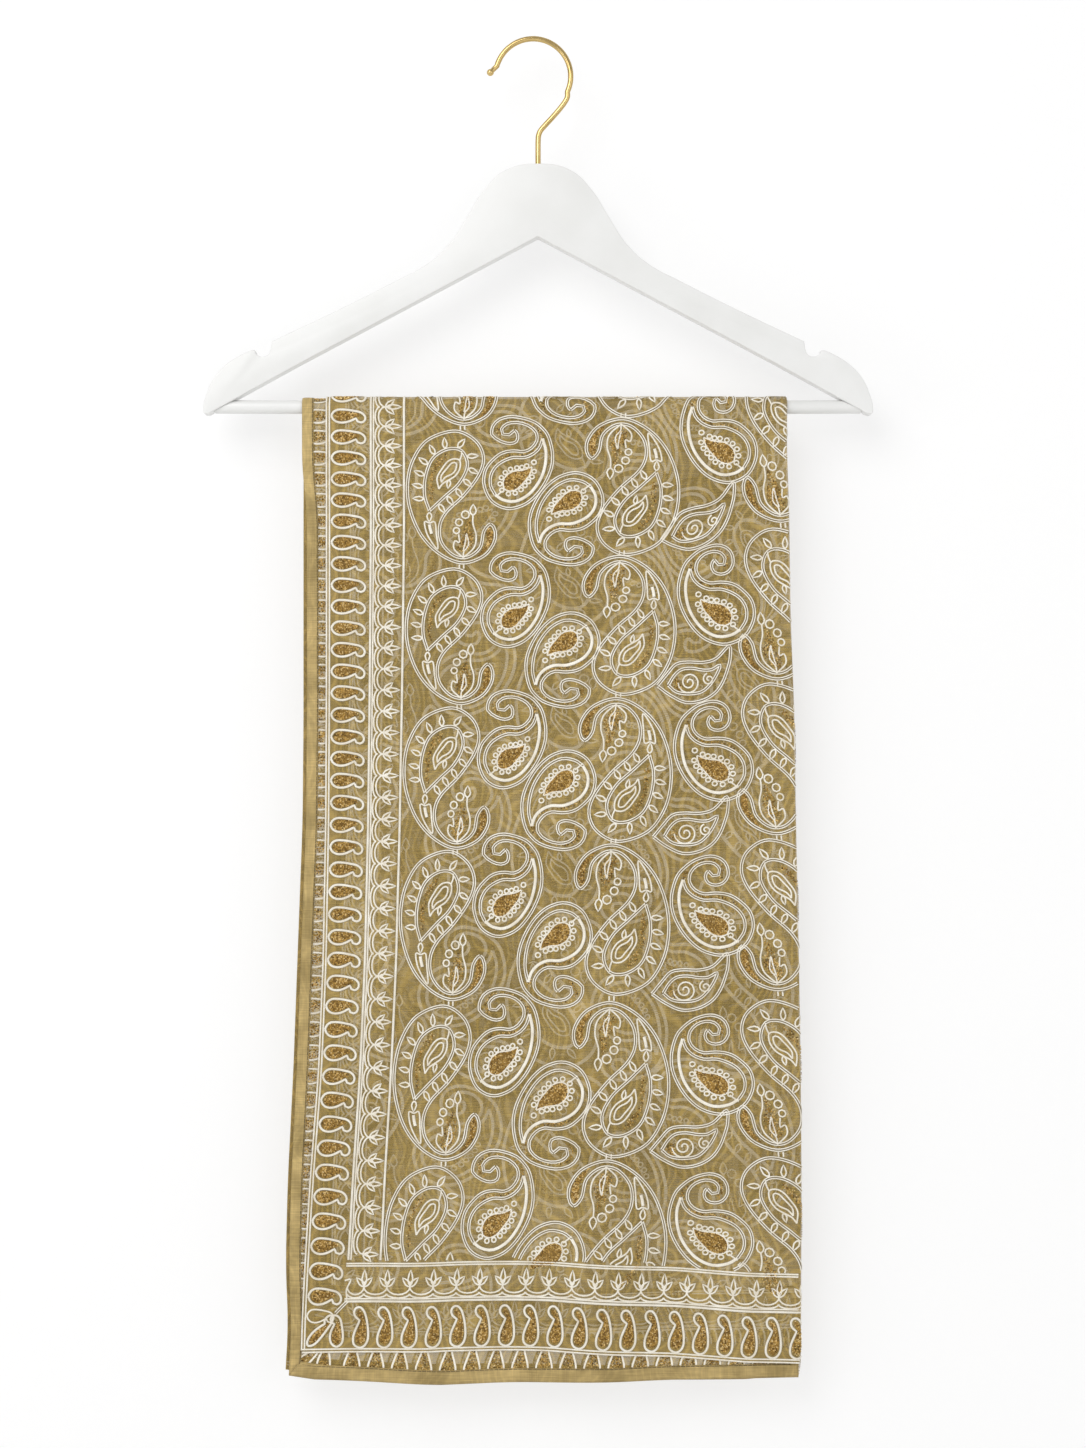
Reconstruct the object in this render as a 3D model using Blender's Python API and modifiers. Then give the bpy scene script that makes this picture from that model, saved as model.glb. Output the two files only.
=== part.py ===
# Dupatta stole, folded in half along its length and hung over the bar of a wooden hanger.
# Metres, +Z up, the front faces -Y. The origin is the top of the hook's inside, where a rail carries it.
import math

import bmesh
import bpy
import numpy as np
from mathutils import Vector

MM = 0.001
GAP = 0.0003                 # clearance between pieces that touch on the real object

# Hanger
BODY_THICKNESS = 0.012
BODY_EDGE = 0.0009           # rounding along the wood's edges
APEX_Z = -0.1305             # point of the V under the hump
BAR_RADIUS = 0.0045
BAR_Z = -0.2426              # axis of the bar
BAR_HALF = 0.2145            # from the middle to each end, inside the arm
SOCKET_START = 0.185         # the sockets' cutters start here, clear of the arms' undersides

# Hook
WIRE_RADIUS = 0.00175
BALL_RADIUS = 0.0023
HOOK_RADIUS = 0.025          # of the wire's middle line
HOOK_X = -0.0033             # the circle's centre lies left of the stem
HOOK_START = 164             # degrees round the circle, from the tip over the top to the right
HOOK_END = -24
HOOK_STEPS = 36
BALL_OUT = 0.0284            # the ball's place from the circle's centre, out to the left and up
BALL_UP = 0.0026
STEM_BOTTOM_Z = -0.094       # the stem ends inside the hump
HOLE_BOTTOM_Z = -0.0965
HUMP_TOP_Z = -0.082
CUTTER_MARGIN = 0.01         # how far a cutter runs out of the wood

# Cloth
WALL = 0.001
PLY_STEP = 0.0014            # between the middles of two plies that lie on each other
STACK_RADIUS = 0.006         # from the bar's axis to halfway between the two plies
STACK_CLOSING = 0.0022       # how far each drop moves towards the other below the bar
CLOSING_DROP = 0.16          # they have come together this far below the bar
FOLD_SWELL = 0.0016          # the plies part by this much more beside the lengthwise fold
FOLD_REACH = 0.014           # how far across that swelling fades
SWELL_DROP = 0.08            # how far down it takes to build up
HEM_WIDTH = 0.0093
HEM_END = 0.0008             # the bottom hem stops this far short of the fold's middle line
WAVE = 0.0024                # height of the soft waves at the hem, which both drops share
OWN_WAVE = 0.0007            # height of the waves that are a drop's own
LONG_WAVE = 0.2              # length of a wave across the drop
SHORT_WAVE = 0.13
SHORT_SHARE = 0.25           # how much of the shared wave is the short one
WAVE_TOP = 0.05              # above this drop the cloth hangs flat
WAVE_LEAN = 0.3              # how much closer the waves stand at the hem than at the top
LONGEST_DROP = 0.65
DRAPE_START = 0.004          # the drops start this far below the bar's axis
PLY_COLUMNS = 18             # grid faces across a drop, down it, round a fold and round the bar
DROP_STEPS = 20
FOLD_STEPS = 5
BAR_STEPS = 14

# Where the drop's long edges lie, in millimetres, down from the bar's axis.
# inner and outer are the left edges of the under and the upper ply, fold is the outside of the fold.
EDGES = (
    ("drop", "inner", "outer", "fold"),
    (0, -156.2, -139.7, 166.4),
    (27, -156.2, -139.7, 165.8),
    (70, -156.2, -139.7, 167.0),
    (135, -156.1, -139.8, 167.9),
    (205, -156.1, -139.9, 170.6),
    (275, -156.7, -140.3, 171.6),
    (367, -160.2, -142.0, 173.6),
    (440, -162.9, -145.0, 174.8),
    (515, -166.7, -150.8, 175.4),
    (571, -168.1, -154.2, 175.2),
    (612, -166.4, -156.2, 175.0),
    (650, -168.8, -156.8, 174.8),
)
EDGE_SMOOTHING = (-14.0, -7.0, 0.0, 7.0, 14.0)

# How long each ply hangs, in millimetres from the bar's axis, across the width from 0, left, to 1, right.
DROPS = (
    ("across", "front_outer", "front_inner", "back_outer", "back_inner"),
    (0.0, 626.8, 642.6, 621.5, 640.5),
    (0.05, 626.6, 645.2, 622.0, 643.0),
    (0.3, 625.3, 648.2, 623.5, 645.8),
    (0.5, 625.8, 647.4, 624.5, 646.0),
    (0.75, 629.4, 645.4, 625.0, 646.8),
    (0.9, 633.0, 644.4, 624.5, 647.0),
    (1.0, 633.8, 644.1, 623.0, 643.9),
)

# Half of the wooden body's outline in millimetres, from the hump's top round to the V. A smooth point is
# rounded through, a corner is a point where straight stretches meet.
OUTLINE = (
    ("x", "z", "kind"),
    (21.4, -86.2, "smooth"),
    (36.3, -100.2, "smooth"),
    (47.0, -117.3, "smooth"),
    (58.7, -135.2, "smooth"),
    (73.5, -148.6, "smooth"),
    (94.0, -159.6, "smooth"),
    (131.1, -178.3, "smooth"),
    (176.3, -199.7, "corner"),
    (176.9, -204.5, "corner"),
    (178.6, -208.3, "smooth"),
    (182.2, -209.8, "smooth"),
    (185.9, -208.7, "smooth"),
    (187.4, -205.8, "corner"),
    (188.7, -205.5, "smooth"),
    (198.4, -209.7, "smooth"),
    (207.7, -216.1, "smooth"),
    (215.3, -224.9, "smooth"),
    (219.7, -234.6, "smooth"),
    (221.9, -244.3, "smooth"),
    (221.3, -247.4, "smooth"),
    (218.8, -247.9, "smooth"),
    (214.6, -245.7, "corner"),
    (157.6, -214.4, "corner"),
    (78.1, -172.2, "corner"),
)

# The wire's route below its circle, in millimetres, down to where the straight stem starts.
WIRE = (
    ("x", "z"),
    (19.2, -37.6),
    (15.4, -43.4),
    (9.6, -50.2),
    (4.6, -55.6),
    (1.6, -59.2),
    (0.3, -62.6),
    (0.0, -67.0),
)


def clear_scene():
    for thing in list(bpy.data.objects):
        bpy.data.objects.remove(thing, do_unlink=True)


def new_collection(name):
    group = bpy.data.collections.new(name)
    bpy.context.scene.collection.children.link(group)
    return group


def finish(name, colour, roughness, metallic=0.0, sheen=0.0):
    """A Principled material in the photo's colour."""
    material = bpy.data.materials.new(name)
    material.use_nodes = True
    shader = material.node_tree.nodes["Principled BSDF"]
    shader.inputs["Base Color"].default_value = (*colour, 1.0)
    shader.inputs["Roughness"].default_value = roughness
    shader.inputs["Metallic"].default_value = metallic
    shader.inputs["Sheen Weight"].default_value = sheen
    return material


def place(name, data, material, group):
    thing = bpy.data.objects.new(name, data)
    group.objects.link(thing)
    data.materials.append(material)
    return thing


def column(table, name):
    """One named column of a table whose first row holds the names."""
    names, *rows = table
    return [row[names.index(name)] for row in rows]


def smooth_step(value):
    value = min(max(value, 0.0), 1.0)
    return value * value * (3.0 - 2.0 * value)


def as_mesh(thing, group):
    """Turn a curve object into a closed mesh object of the same name."""
    bpy.context.view_layer.update()
    evaluated = thing.evaluated_get(bpy.context.evaluated_depsgraph_get())
    mesh = bpy.data.meshes.new_from_object(evaluated)
    welder = bmesh.new()
    welder.from_mesh(mesh)
    bmesh.ops.remove_doubles(welder, verts=welder.verts, dist=1e-6)
    bmesh.ops.recalc_face_normals(welder, faces=welder.faces)
    welder.to_mesh(mesh)
    welder.free()
    name = thing.name
    where = thing.matrix_world.copy()
    bpy.data.objects.remove(thing, do_unlink=True)
    solid = bpy.data.objects.new(name, mesh)
    solid.matrix_world = where
    group.objects.link(solid)
    return solid


def cut(thing, cutter, operation="DIFFERENCE"):
    cutter.hide_render = True
    cutter.display_type = "WIRE"
    boolean = thing.modifiers.new(cutter.name, "BOOLEAN")
    boolean.operation = operation
    boolean.object = cutter
    boolean.solver = "EXACT"


def cylinder(name, radius, start, end, sides, material, group):
    """A round bar from start to end."""
    start, end = Vector(start), Vector(end)
    mesh = bpy.data.meshes.new(name)
    maker = bmesh.new()
    bmesh.ops.create_cone(maker, cap_ends=True, segments=sides, radius1=radius, radius2=radius,
                          depth=(end - start).length)
    maker.to_mesh(mesh)
    maker.free()
    bar = place(name, mesh, material, group)
    bar.rotation_mode = "QUATERNION"
    bar.rotation_quaternion = (end - start).to_track_quat("Z", "Y")
    bar.location = (start + end) / 2
    return bar


# Hanger

def body_outline():
    """Points of the whole outline with their kinds, clockwise from the hump's top."""
    right = [(x * MM, z * MM, kind) for x, z, kind in
             zip(column(OUTLINE, "x"), column(OUTLINE, "z"), column(OUTLINE, "kind"))]
    left = [(-x, z, kind) for x, z, kind in reversed(right)]
    return [(0.0, HUMP_TOP_Z, "smooth")] + right + [(0.0, APEX_Z, "corner")] + left


def hanger_body(wood, brass, group, cutters):
    points = body_outline()
    curve = bpy.data.curves.new("hanger_body", "CURVE")
    curve.dimensions = "2D"
    curve.fill_mode = "BOTH"
    curve.extrude = BODY_THICKNESS / 2
    curve.resolution_u = 4
    curve.render_resolution_u = 0
    spline = curve.splines.new("BEZIER")
    spline.bezier_points.add(len(points) - 1)
    spline.use_cyclic_u = True
    for knot, (x, z, kind) in zip(spline.bezier_points, points):
        knot.co = (x, z, 0.0)
        handle = "AUTO" if kind == "smooth" else "VECTOR"
        knot.handle_left_type = handle
        knot.handle_right_type = handle
    flat = bpy.data.objects.new("hanger_body", curve)
    group.objects.link(flat)
    flat.rotation_euler = (math.radians(90), 0, 0)
    body = as_mesh(flat, group)
    body.data.materials.append(wood)
    rounding = body.modifiers.new("rounded edges", "BEVEL")
    rounding.width = BODY_EDGE
    rounding.segments = 1
    rounding.limit_method = "ANGLE"
    rounding.angle_limit = math.radians(60)
    for side in (-1, 1):
        socket = cylinder(f"socket_cutter_{'left' if side < 0 else 'right'}", BAR_RADIUS + GAP,
                          (side * SOCKET_START, 0, BAR_Z), (side * (BAR_HALF + GAP), 0, BAR_Z),
                          24, wood, cutters)
        cut(body, socket)
    hole = cylinder("stem_cutter", WIRE_RADIUS + GAP, (0, 0, HOLE_BOTTOM_Z),
                    (0, 0, HUMP_TOP_Z + CUTTER_MARGIN), 16, brass, cutters)
    cut(body, hole)
    return body


def hook(brass, group, cutters):
    inside = HOOK_RADIUS - WIRE_RADIUS
    centre_z = -math.sqrt(inside ** 2 - HOOK_X ** 2)
    ball = Vector((HOOK_X - BALL_OUT, 0, centre_z + BALL_UP))
    route = [ball]
    for step in range(HOOK_STEPS + 1):
        angle = math.radians(HOOK_START + (HOOK_END - HOOK_START) * step / HOOK_STEPS)
        route.append(Vector((HOOK_X + HOOK_RADIUS * math.cos(angle), 0,
                             centre_z + HOOK_RADIUS * math.sin(angle))))
    for x, z in zip(column(WIRE, "x"), column(WIRE, "z")):
        route.append(Vector((x * MM, 0, z * MM)))
    route.append(Vector((0, 0, STEM_BOTTOM_Z)))
    curve = bpy.data.curves.new("hook", "CURVE")
    curve.dimensions = "3D"
    curve.bevel_depth = WIRE_RADIUS
    curve.bevel_resolution = 3
    curve.use_fill_caps = True
    spline = curve.splines.new("POLY")
    spline.points.add(len(route) - 1)
    for knot, point in zip(spline.points, route):
        knot.co = (*point, 1.0)
    wire = bpy.data.objects.new("hook", curve)
    group.objects.link(wire)
    wire = as_mesh(wire, group)
    wire.data.materials.append(brass)
    wire.data.shade_smooth()
    mesh = bpy.data.meshes.new("hook_ball")
    maker = bmesh.new()
    bmesh.ops.create_uvsphere(maker, u_segments=14, v_segments=9, radius=BALL_RADIUS)
    maker.to_mesh(mesh)
    maker.free()
    tip = place("hook_ball", mesh, brass, cutters)
    tip.location = ball
    cut(wire, tip, "UNION")
    return wire


# Cloth

def edge(name, drop):
    """How far across one of the long edges lies at a drop below the bar's axis."""
    near = np.interp(drop / MM + np.array(EDGE_SMOOTHING), column(EDGES, "drop"), column(EDGES, name))
    return float(near.mean()) * MM


def drop_length(name, across):
    return float(np.interp(across, column(DROPS, "across"), column(DROPS, name))) * MM


def wave(x, drop, side):
    """Soft waves that grow towards the hem. side is -1 at the front and 1 at the back."""
    share = (drop - WAVE_TOP) / (LONGEST_DROP - WAVE_TOP)
    across = x * (1.0 + WAVE_LEAN * share) * 2 * math.pi
    long_wave = math.cos(across / LONG_WAVE + 0.6)
    short_wave = math.cos(across / SHORT_WAVE + share)
    own_wave = math.cos(across / SHORT_WAVE + 2.0 * share + side)
    shared = (1.0 - SHORT_SHARE) * long_wave + SHORT_SHARE * short_wave
    return smooth_step(share) * (WAVE * shared + OWN_WAVE * own_wave)


def stack_middle(drop):
    """Distance from the hanger's middle plane to halfway between a drop's two plies."""
    return STACK_RADIUS - STACK_CLOSING * smooth_step(drop / CLOSING_DROP)


def ply_offset(x, drop, layer):
    """How far outwards a ply lies: layer is 1 for the upper ply and -1 for the under ply."""
    from_fold = max(edge("fold", drop) - x, 0.0)
    swell = FOLD_SWELL * math.exp(-from_fold / FOLD_REACH) * smooth_step(drop / SWELL_DROP)
    return layer * (PLY_STEP + swell) / 2


def on_drop(x, drop, layer, side):
    """A point on a ply of the front drop (side -1) or of the back drop (side 1)."""
    depth = stack_middle(drop) + ply_offset(x, drop, layer)
    return Vector((x, side * depth + wave(x, drop, side), BAR_Z - drop))


def on_bar(x, angle, layer):
    """A point on the stretch over the bar: angle runs from 0, the front, to pi, the back."""
    radius = STACK_RADIUS + layer * PLY_STEP / 2
    return Vector((x, -radius * math.cos(angle), BAR_Z + radius * math.sin(angle)))


def sheet(name, columns, rows, surface, material, group):
    """A cloth wall: a grid laid on surface(u, v), with u and v from 0 to 1, and thickened both ways."""
    mesh = bpy.data.meshes.new(name)
    maker = bmesh.new()
    bmesh.ops.create_grid(maker, x_segments=columns, y_segments=rows, size=0.5)
    for corner in maker.verts:
        corner.co = surface(corner.co.x + 0.5, corner.co.y + 0.5)
    maker.to_mesh(mesh)
    maker.free()
    cloth = place(name, mesh, material, group)
    wall = cloth.modifiers.new("wall", "SOLIDIFY")
    wall.thickness = WALL
    wall.offset = 0
    return cloth


def fold_start(drop):
    """Where the flat plies end beside the lengthwise fold."""
    return edge("fold", drop) - (PLY_STEP + FOLD_SWELL) / 2 - WALL / 2


def ply(side, layer, name, material, group):
    """One ply of a drop, from just under the bar to its hem."""
    left = "outer" if layer > 0 else "inner"

    def surface(u, v):
        full = drop_length(name, u)
        drop = DRAPE_START + GAP / 2 + v * (full - DRAPE_START)
        right = fold_start(drop) - GAP / 2
        x = edge(left, drop) + u * (right - edge(left, drop))
        return on_drop(x, drop, layer, side)

    return sheet(name + "_ply", PLY_COLUMNS, DROP_STEPS, surface, material, group)


def lengthwise_fold(side, material, group):
    """The soft turn that joins the two plies of a drop, down to the upper ply's hem."""
    name = "front" if side < 0 else "back"
    length = drop_length(name + "_outer", 1.0)

    def surface(u, v):
        drop = DRAPE_START + GAP / 2 + v * (length - DRAPE_START)
        turn = (0.5 - u) * math.pi
        x = fold_start(drop) + GAP / 2
        half = ply_offset(x, drop, 1)
        depth = stack_middle(drop) + half * math.sin(turn)
        return Vector((x + half * math.cos(turn), side * depth + wave(x, drop, side), BAR_Z - drop))

    return sheet(name + "_fold", FOLD_STEPS, DROP_STEPS, surface, material, group)


def side_hem(side, material, group):
    """The turned hem down the under ply's left edge, on its wrong side, mitred at the corner."""
    name = "front" if side < 0 else "back"

    def surface(u, v):
        inward = u * HEM_WIDTH
        full = drop_length(name + "_inner", 0.0) - inward - GAP
        drop = DRAPE_START + GAP / 2 + v * (full - DRAPE_START)
        return on_drop(edge("inner", drop) + inward, drop, 1, side)

    return sheet(name + "_hem_side", 1, DROP_STEPS, surface, material, group)


def bottom_hem(side, material, group):
    """The turned hem along the under ply's bottom edge, mitred at the left corner."""
    name = "front" if side < 0 else "back"

    def surface(u, v):
        rise = v * HEM_WIDTH
        drop = drop_length(name + "_inner", u) - rise
        left = edge("inner", drop) + rise + GAP
        right = edge("fold", drop) - HEM_END
        return on_drop(left + u * (right - left), drop, 1, side)

    return sheet(name + "_hem_bottom", PLY_COLUMNS, 1, surface, material, group)


def bar_ply(layer, material, group):
    left = "outer" if layer > 0 else "inner"
    name = "bar_outer_ply" if layer > 0 else "bar_inner_ply"

    def surface(u, v):
        start, end = edge(left, 0.0), fold_start(0.0) - GAP / 2
        return bar_wrap(start + u * (end - start), v, layer)

    return sheet(name, 1, BAR_STEPS, surface, material, group)


def bar_wrap(x, v, layer):
    """A point round the bar that runs on down to where the drops start, v from front, 0, to back, 1."""
    radius = STACK_RADIUS + layer * PLY_STEP / 2
    half_turn = math.pi * radius
    tail = DRAPE_START - GAP / 2
    along = v * (half_turn + 2 * tail)
    if along < tail:
        return Vector((x, -radius, BAR_Z - (tail - along)))
    if along > tail + half_turn:
        return Vector((x, radius, BAR_Z - (along - tail - half_turn)))
    return on_bar(x, (along - tail) / radius, layer)


def bar_side_hem(material, group):
    def surface(u, v):
        return bar_wrap(edge("inner", 0.0) + u * HEM_WIDTH, v, 1)

    return sheet("bar_hem_side", 1, BAR_STEPS, surface, material, group)


def bar_fold(material, group):
    """The lengthwise fold where it goes over the bar."""

    def surface(u, v):
        turn = (0.5 - u) * math.pi
        x = fold_start(0.0) + GAP / 2 + PLY_STEP / 2 * math.cos(turn)
        return bar_wrap(x, v, math.sin(turn))

    return sheet("bar_fold", FOLD_STEPS, BAR_STEPS, surface, material, group)


def build():
    clear_scene()
    stole = new_collection("dupatta_stole_on_hanger")
    cutters = new_collection("cutters")
    wood = finish("white_painted_wood", (0.86, 0.86, 0.85), 0.35)
    brass = finish("polished_brass", (0.72, 0.56, 0.29), 0.18, metallic=1.0)
    net = finish("khaki_net", (0.45, 0.34, 0.15), 0.6, sheen=0.3)
    hem = finish("khaki_hem", (0.47, 0.35, 0.14), 0.55, sheen=0.3)
    hanger_body(wood, brass, stole, cutters)
    cylinder("hanger_bar", BAR_RADIUS, (-BAR_HALF, 0, BAR_Z), (BAR_HALF, 0, BAR_Z), 24, wood, stole)
    hook(brass, stole, cutters)
    for side, drop in ((-1, "front"), (1, "back")):
        ply(side, 1, drop + "_outer", net, stole)
        ply(side, -1, drop + "_inner", net, stole)
        lengthwise_fold(side, net, stole)
        side_hem(side, hem, stole)
        bottom_hem(side, hem, stole)
    for layer in (1, -1):
        bar_ply(layer, net, stole)
    bar_fold(net, stole)
    bar_side_hem(hem, stole)


build()
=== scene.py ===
# %% [markdown]
# # A dupatta stole on a wooden hanger
# The object is one sheer, khaki-gold cloth, embroidered with cord paisleys, folded in half along its length
# and hung over the bar of a flat white hanger. The imported CAD model gives the frame: every size below is in
# metres in that frame, with the origin where the hook rests on a rail, X to the right and -Y to the front.
# Two small helpers, for objects and for meshes, serve every step.

# %% Load the imported frame
import math

import bmesh
import bpy
import numpy as np
from mathutils import Matrix, Vector


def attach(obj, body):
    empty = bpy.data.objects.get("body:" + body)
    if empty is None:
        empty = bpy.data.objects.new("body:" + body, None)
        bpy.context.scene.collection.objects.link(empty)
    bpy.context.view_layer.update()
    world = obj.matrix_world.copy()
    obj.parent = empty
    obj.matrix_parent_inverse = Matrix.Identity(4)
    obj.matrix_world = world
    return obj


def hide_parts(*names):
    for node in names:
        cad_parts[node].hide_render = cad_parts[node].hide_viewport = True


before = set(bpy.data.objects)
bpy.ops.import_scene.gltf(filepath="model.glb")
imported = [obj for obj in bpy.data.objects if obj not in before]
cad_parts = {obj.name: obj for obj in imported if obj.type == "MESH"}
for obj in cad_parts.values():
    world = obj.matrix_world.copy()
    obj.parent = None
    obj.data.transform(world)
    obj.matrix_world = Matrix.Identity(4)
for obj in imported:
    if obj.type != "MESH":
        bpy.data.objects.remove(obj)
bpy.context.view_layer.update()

MM = 0.001

# %% Object helpers
def add_object(name, data):
    """A new object in the scene."""
    made = bpy.data.objects.new(name, data)
    bpy.context.scene.collection.objects.link(made)
    return made


def to_mesh(name, maker):
    """The mesh of a bmesh, which is freed."""
    mesh = bpy.data.meshes.new(name)
    maker.to_mesh(mesh)
    maker.free()
    return mesh


# %% [markdown]
# ## The camera
# The photograph was taken straight on, level, with the camera near the middle of the hanging cloth. The
# lens could be guessed, but the flat face of the hanger and the undersides of its arms give the distance, and
# then the picture's height at the cloth gives the lens. The picture is upright, so the sensor's long side is
# its height.

# %% Place the camera
EYE = Vector((0.0033, -1.75, -0.4532))
PICTURE_HEIGHT = 0.9586      # what the picture takes in, top to bottom, at the cloth's face
CLOTH_FACE_Y = -0.006
SENSOR = 36.0                # millimetres, the long side

camera_data = bpy.data.cameras.new("camera")
camera_data.sensor_width = SENSOR
camera_data.lens = SENSOR * (CLOTH_FACE_Y - EYE.y) / PICTURE_HEIGHT
camera_data.clip_end = 30.0
camera = add_object("camera", camera_data)
camera.location = EYE
camera.rotation_euler = (math.radians(90), 0.0, 0.0)
bpy.context.scene.camera = camera
bpy.context.scene.view_settings.view_transform = "Standard"
print(f"lens {camera_data.lens:.1f} mm")

# %% [markdown]
# ## Small helpers for shader nodes
# A procedural finish is a small graph of nodes. Writing each node and link by hand takes many lines, so one
# helper adds a node, fills its inputs with values or with other nodes' outputs, and gives the output that is
# wanted. Short ones cover what most finishes need, and another starts a node group, which is worth making
# when several finishes share an effect.

# %% Node helpers
def fill_inputs(node, inputs):
    """Give each named input a value, or another node's output to read."""
    for name, value in inputs.items():
        if isinstance(value, bpy.types.NodeSocket):
            node.id_data.links.new(value, node.inputs[name])
        else:
            node.inputs[name].default_value = value


def add_node(tree, kind, inputs, output=0, **properties):
    """Add one shader node, fill its inputs, and give one of its outputs."""
    made = tree.nodes.new("ShaderNode" + kind)
    for name, value in properties.items():
        setattr(made, name, value)
    fill_inputs(made, inputs)
    return made.outputs[output]


def ranged(tree, value, low, high, start=0.0, end=1.0):
    """A number that goes from low to high while the one it reads goes from start to end."""
    return add_node(tree, "MapRange", {"Value": value, "From Min": start, "From Max": end,
                                       "To Min": low, "To Max": high})


def calculate(tree, operation, first, second=0.0):
    return add_node(tree, "Math", {0: first, 1: second}, operation=operation)


def times(tree, first, second):
    """Two colours or vectors, multiplied."""
    return add_node(tree, "VectorMath", {0: first, 1: second}, operation="MULTIPLY")


def mixed(tree, share, low, high):
    """A colour between low, at a share of 0, and high, at 1."""
    return add_node(tree, "Mix", {0: share, 6: low, 7: high}, 2, data_type="RGBA")


def noise(tree, place, scale, detail, roughness=0.5):
    return add_node(tree, "TexNoise", {"Vector": place, "Scale": scale, "Detail": detail,
                                       "Roughness": roughness}, "Fac")


def relief(tree, height, distance, strength):
    return add_node(tree, "Bump", {"Height": height, "Distance": distance, "Strength": strength})


def read_attribute(tree, name):
    return add_node(tree, "Attribute", {}, "Fac", attribute_name=name)


def object_place(tree):
    """Coordinates that stay with the object."""
    return add_node(tree, "TexCoord", {}, "Object")


def start_group(name, inputs, outputs):
    """A node group with named sockets: (name, type, value) for inputs and (name, type) for outputs."""
    tree = bpy.data.node_groups.new(name, "ShaderNodeTree")
    for label, kind, value in inputs:
        tree.interface.new_socket(label, in_out="INPUT", socket_type=kind).default_value = value
    for label, kind in outputs:
        tree.interface.new_socket(label, in_out="OUTPUT", socket_type=kind)
    return tree, tree.nodes.new("NodeGroupInput").outputs, tree.nodes.new("NodeGroupOutput")


def use_group(tree, name, inputs):
    """Place a node group with its inputs filled, and give its outputs."""
    placed = tree.nodes.new("ShaderNodeGroup")
    placed.node_tree = bpy.data.node_groups[name]
    fill_inputs(placed, inputs)
    return placed.outputs


def mottled(tree, scale, light, dark):
    """The shared mottled tone, between a light and a dark colour."""
    return use_group(tree, "mottled_tone", {"Vector": object_place(tree), "Scale": scale,
                                            "Light": (*light, 1.0), "Dark": (*dark, 1.0)})


def start_material(name, **values):
    """A material and its node tree and Principled shader, with plain values on the shader's own sockets."""
    material = bpy.data.materials.new(name)
    material.use_nodes = True
    shader = material.node_tree.nodes["Principled BSDF"]
    fill_inputs(shader, {label.replace("_", " "): value for label, value in values.items()})
    return material, material.node_tree, shader


# %% [markdown]
# ## The studio
# The stole hangs just in front of a white wall, in soft light from above and in front, so the arms and the
# cloth throw only a faint grey edge of shadow. A large lamp close to the wall could do it alone, but brass
# looks like brass only when it has something dark to reflect, so the surroundings are a soft grey and the
# light comes from separate soft boxes. The wall glows a little, as a lit backdrop does, which keeps shadows
# faint, and it is see-through from behind, so that the back can be looked at.

# %% Wall, floor and soft light
WALL_Y = 0.034
FLOOR_Z = -1.5
STAGE_SIZE = 8.0
LAMPS = (
    # name, place, size, power in watts
    ("key_soft_box", (-0.8, -1.7, 0.75), 1.3, 20.0),
    ("fill_soft_box", (1.5, -1.6, -0.1), 1.5, 7.0),
    ("left_soft_box", (-1.7, -1.2, -0.5), 1.2, 6.5),
    ("low_soft_box", (0.3, -1.9, -1.2), 1.5, 5.0),
)
AIM = Vector((0.0, 0.0, -0.45))


def stage_plane(name, centre, turned, material):
    maker = bmesh.new()
    bmesh.ops.create_grid(maker, x_segments=2, y_segments=2, size=STAGE_SIZE / 2)
    bmesh.ops.rotate(maker, verts=maker.verts, matrix=Matrix.Rotation(turned, 3, "X"))
    bmesh.ops.translate(maker, verts=maker.verts, vec=centre)
    mesh = to_mesh(name, maker)
    mesh.materials.append(material)
    add_object(name, mesh)


def stage_material(name, colour, glow):
    """A matt finish with a faint tone in it, which glows and is see-through from behind."""
    material, tree, shader = start_material(name, Roughness=0.9, Specular_IOR_Level=0.0,
                                            Emission_Strength=glow, Emission_Color=(1.0, 1.0, 1.0, 1.0))
    tone = ranged(tree, noise(tree, object_place(tree), 3.0, 2.0), 0.985, 1.0)
    behind = add_node(tree, "NewGeometry", {}, "Backfacing")
    fill_inputs(shader, {"Base Color": times(tree, colour, tone),
                         "Alpha": calculate(tree, "SUBTRACT", 1.0, behind)})
    return material


white_wall = stage_material("white_wall", (0.38, 0.38, 0.38), 0.6)
pale_floor = stage_material("pale_floor", (0.80, 0.80, 0.79), 0.0)
stage_plane("wall", (0.0, WALL_Y, 0.0), math.radians(90), white_wall)
stage_plane("floor", (0.0, 0.0, FLOOR_Z), 0.0, pale_floor)
for name, place, size, power in LAMPS:
    lamp_data = bpy.data.lights.new(name, "AREA")
    lamp_data.size = size
    lamp_data.energy = power
    lamp = add_object(name, lamp_data)
    lamp.location = place
    lamp.rotation_euler = (AIM - Vector(place)).to_track_quat("-Z", "Y").to_euler()

SURROUNDINGS = 0.5           # brightness of the grey that lights and is reflected
SEEN_BACKGROUND = 0.92       # brightness of what the camera sees past the wall
world = bpy.data.worlds.new("studio")
bpy.context.scene.world = world
world.use_nodes = True
seen_directly = add_node(world.node_tree, "LightPath", {}, "Is Camera Ray")
brightness = ranged(world.node_tree, seen_directly, SURROUNDINGS, SEEN_BACKGROUND)
fill_inputs(world.node_tree.nodes["Background"], {"Color": (1.0, 1.0, 1.0, 1.0), "Strength": brightness})
print("studio:", len(LAMPS), "soft boxes, a wall and a floor")

# %% [markdown]
# ## The hanging cloth as one function
# Every thread of the stole lies on the same hung cloth: the net itself, its hems and all of the embroidery.
# They could each be modelled in space, but it is far easier to draw them flat, as an embroiderer does, and
# to have one function that says where a point of the flat cloth hangs. The function uses the CAD's own sizes:
# the edges down the drop, the two plies and the soft fold between them, the wrap over the bar, and the waves.

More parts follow.
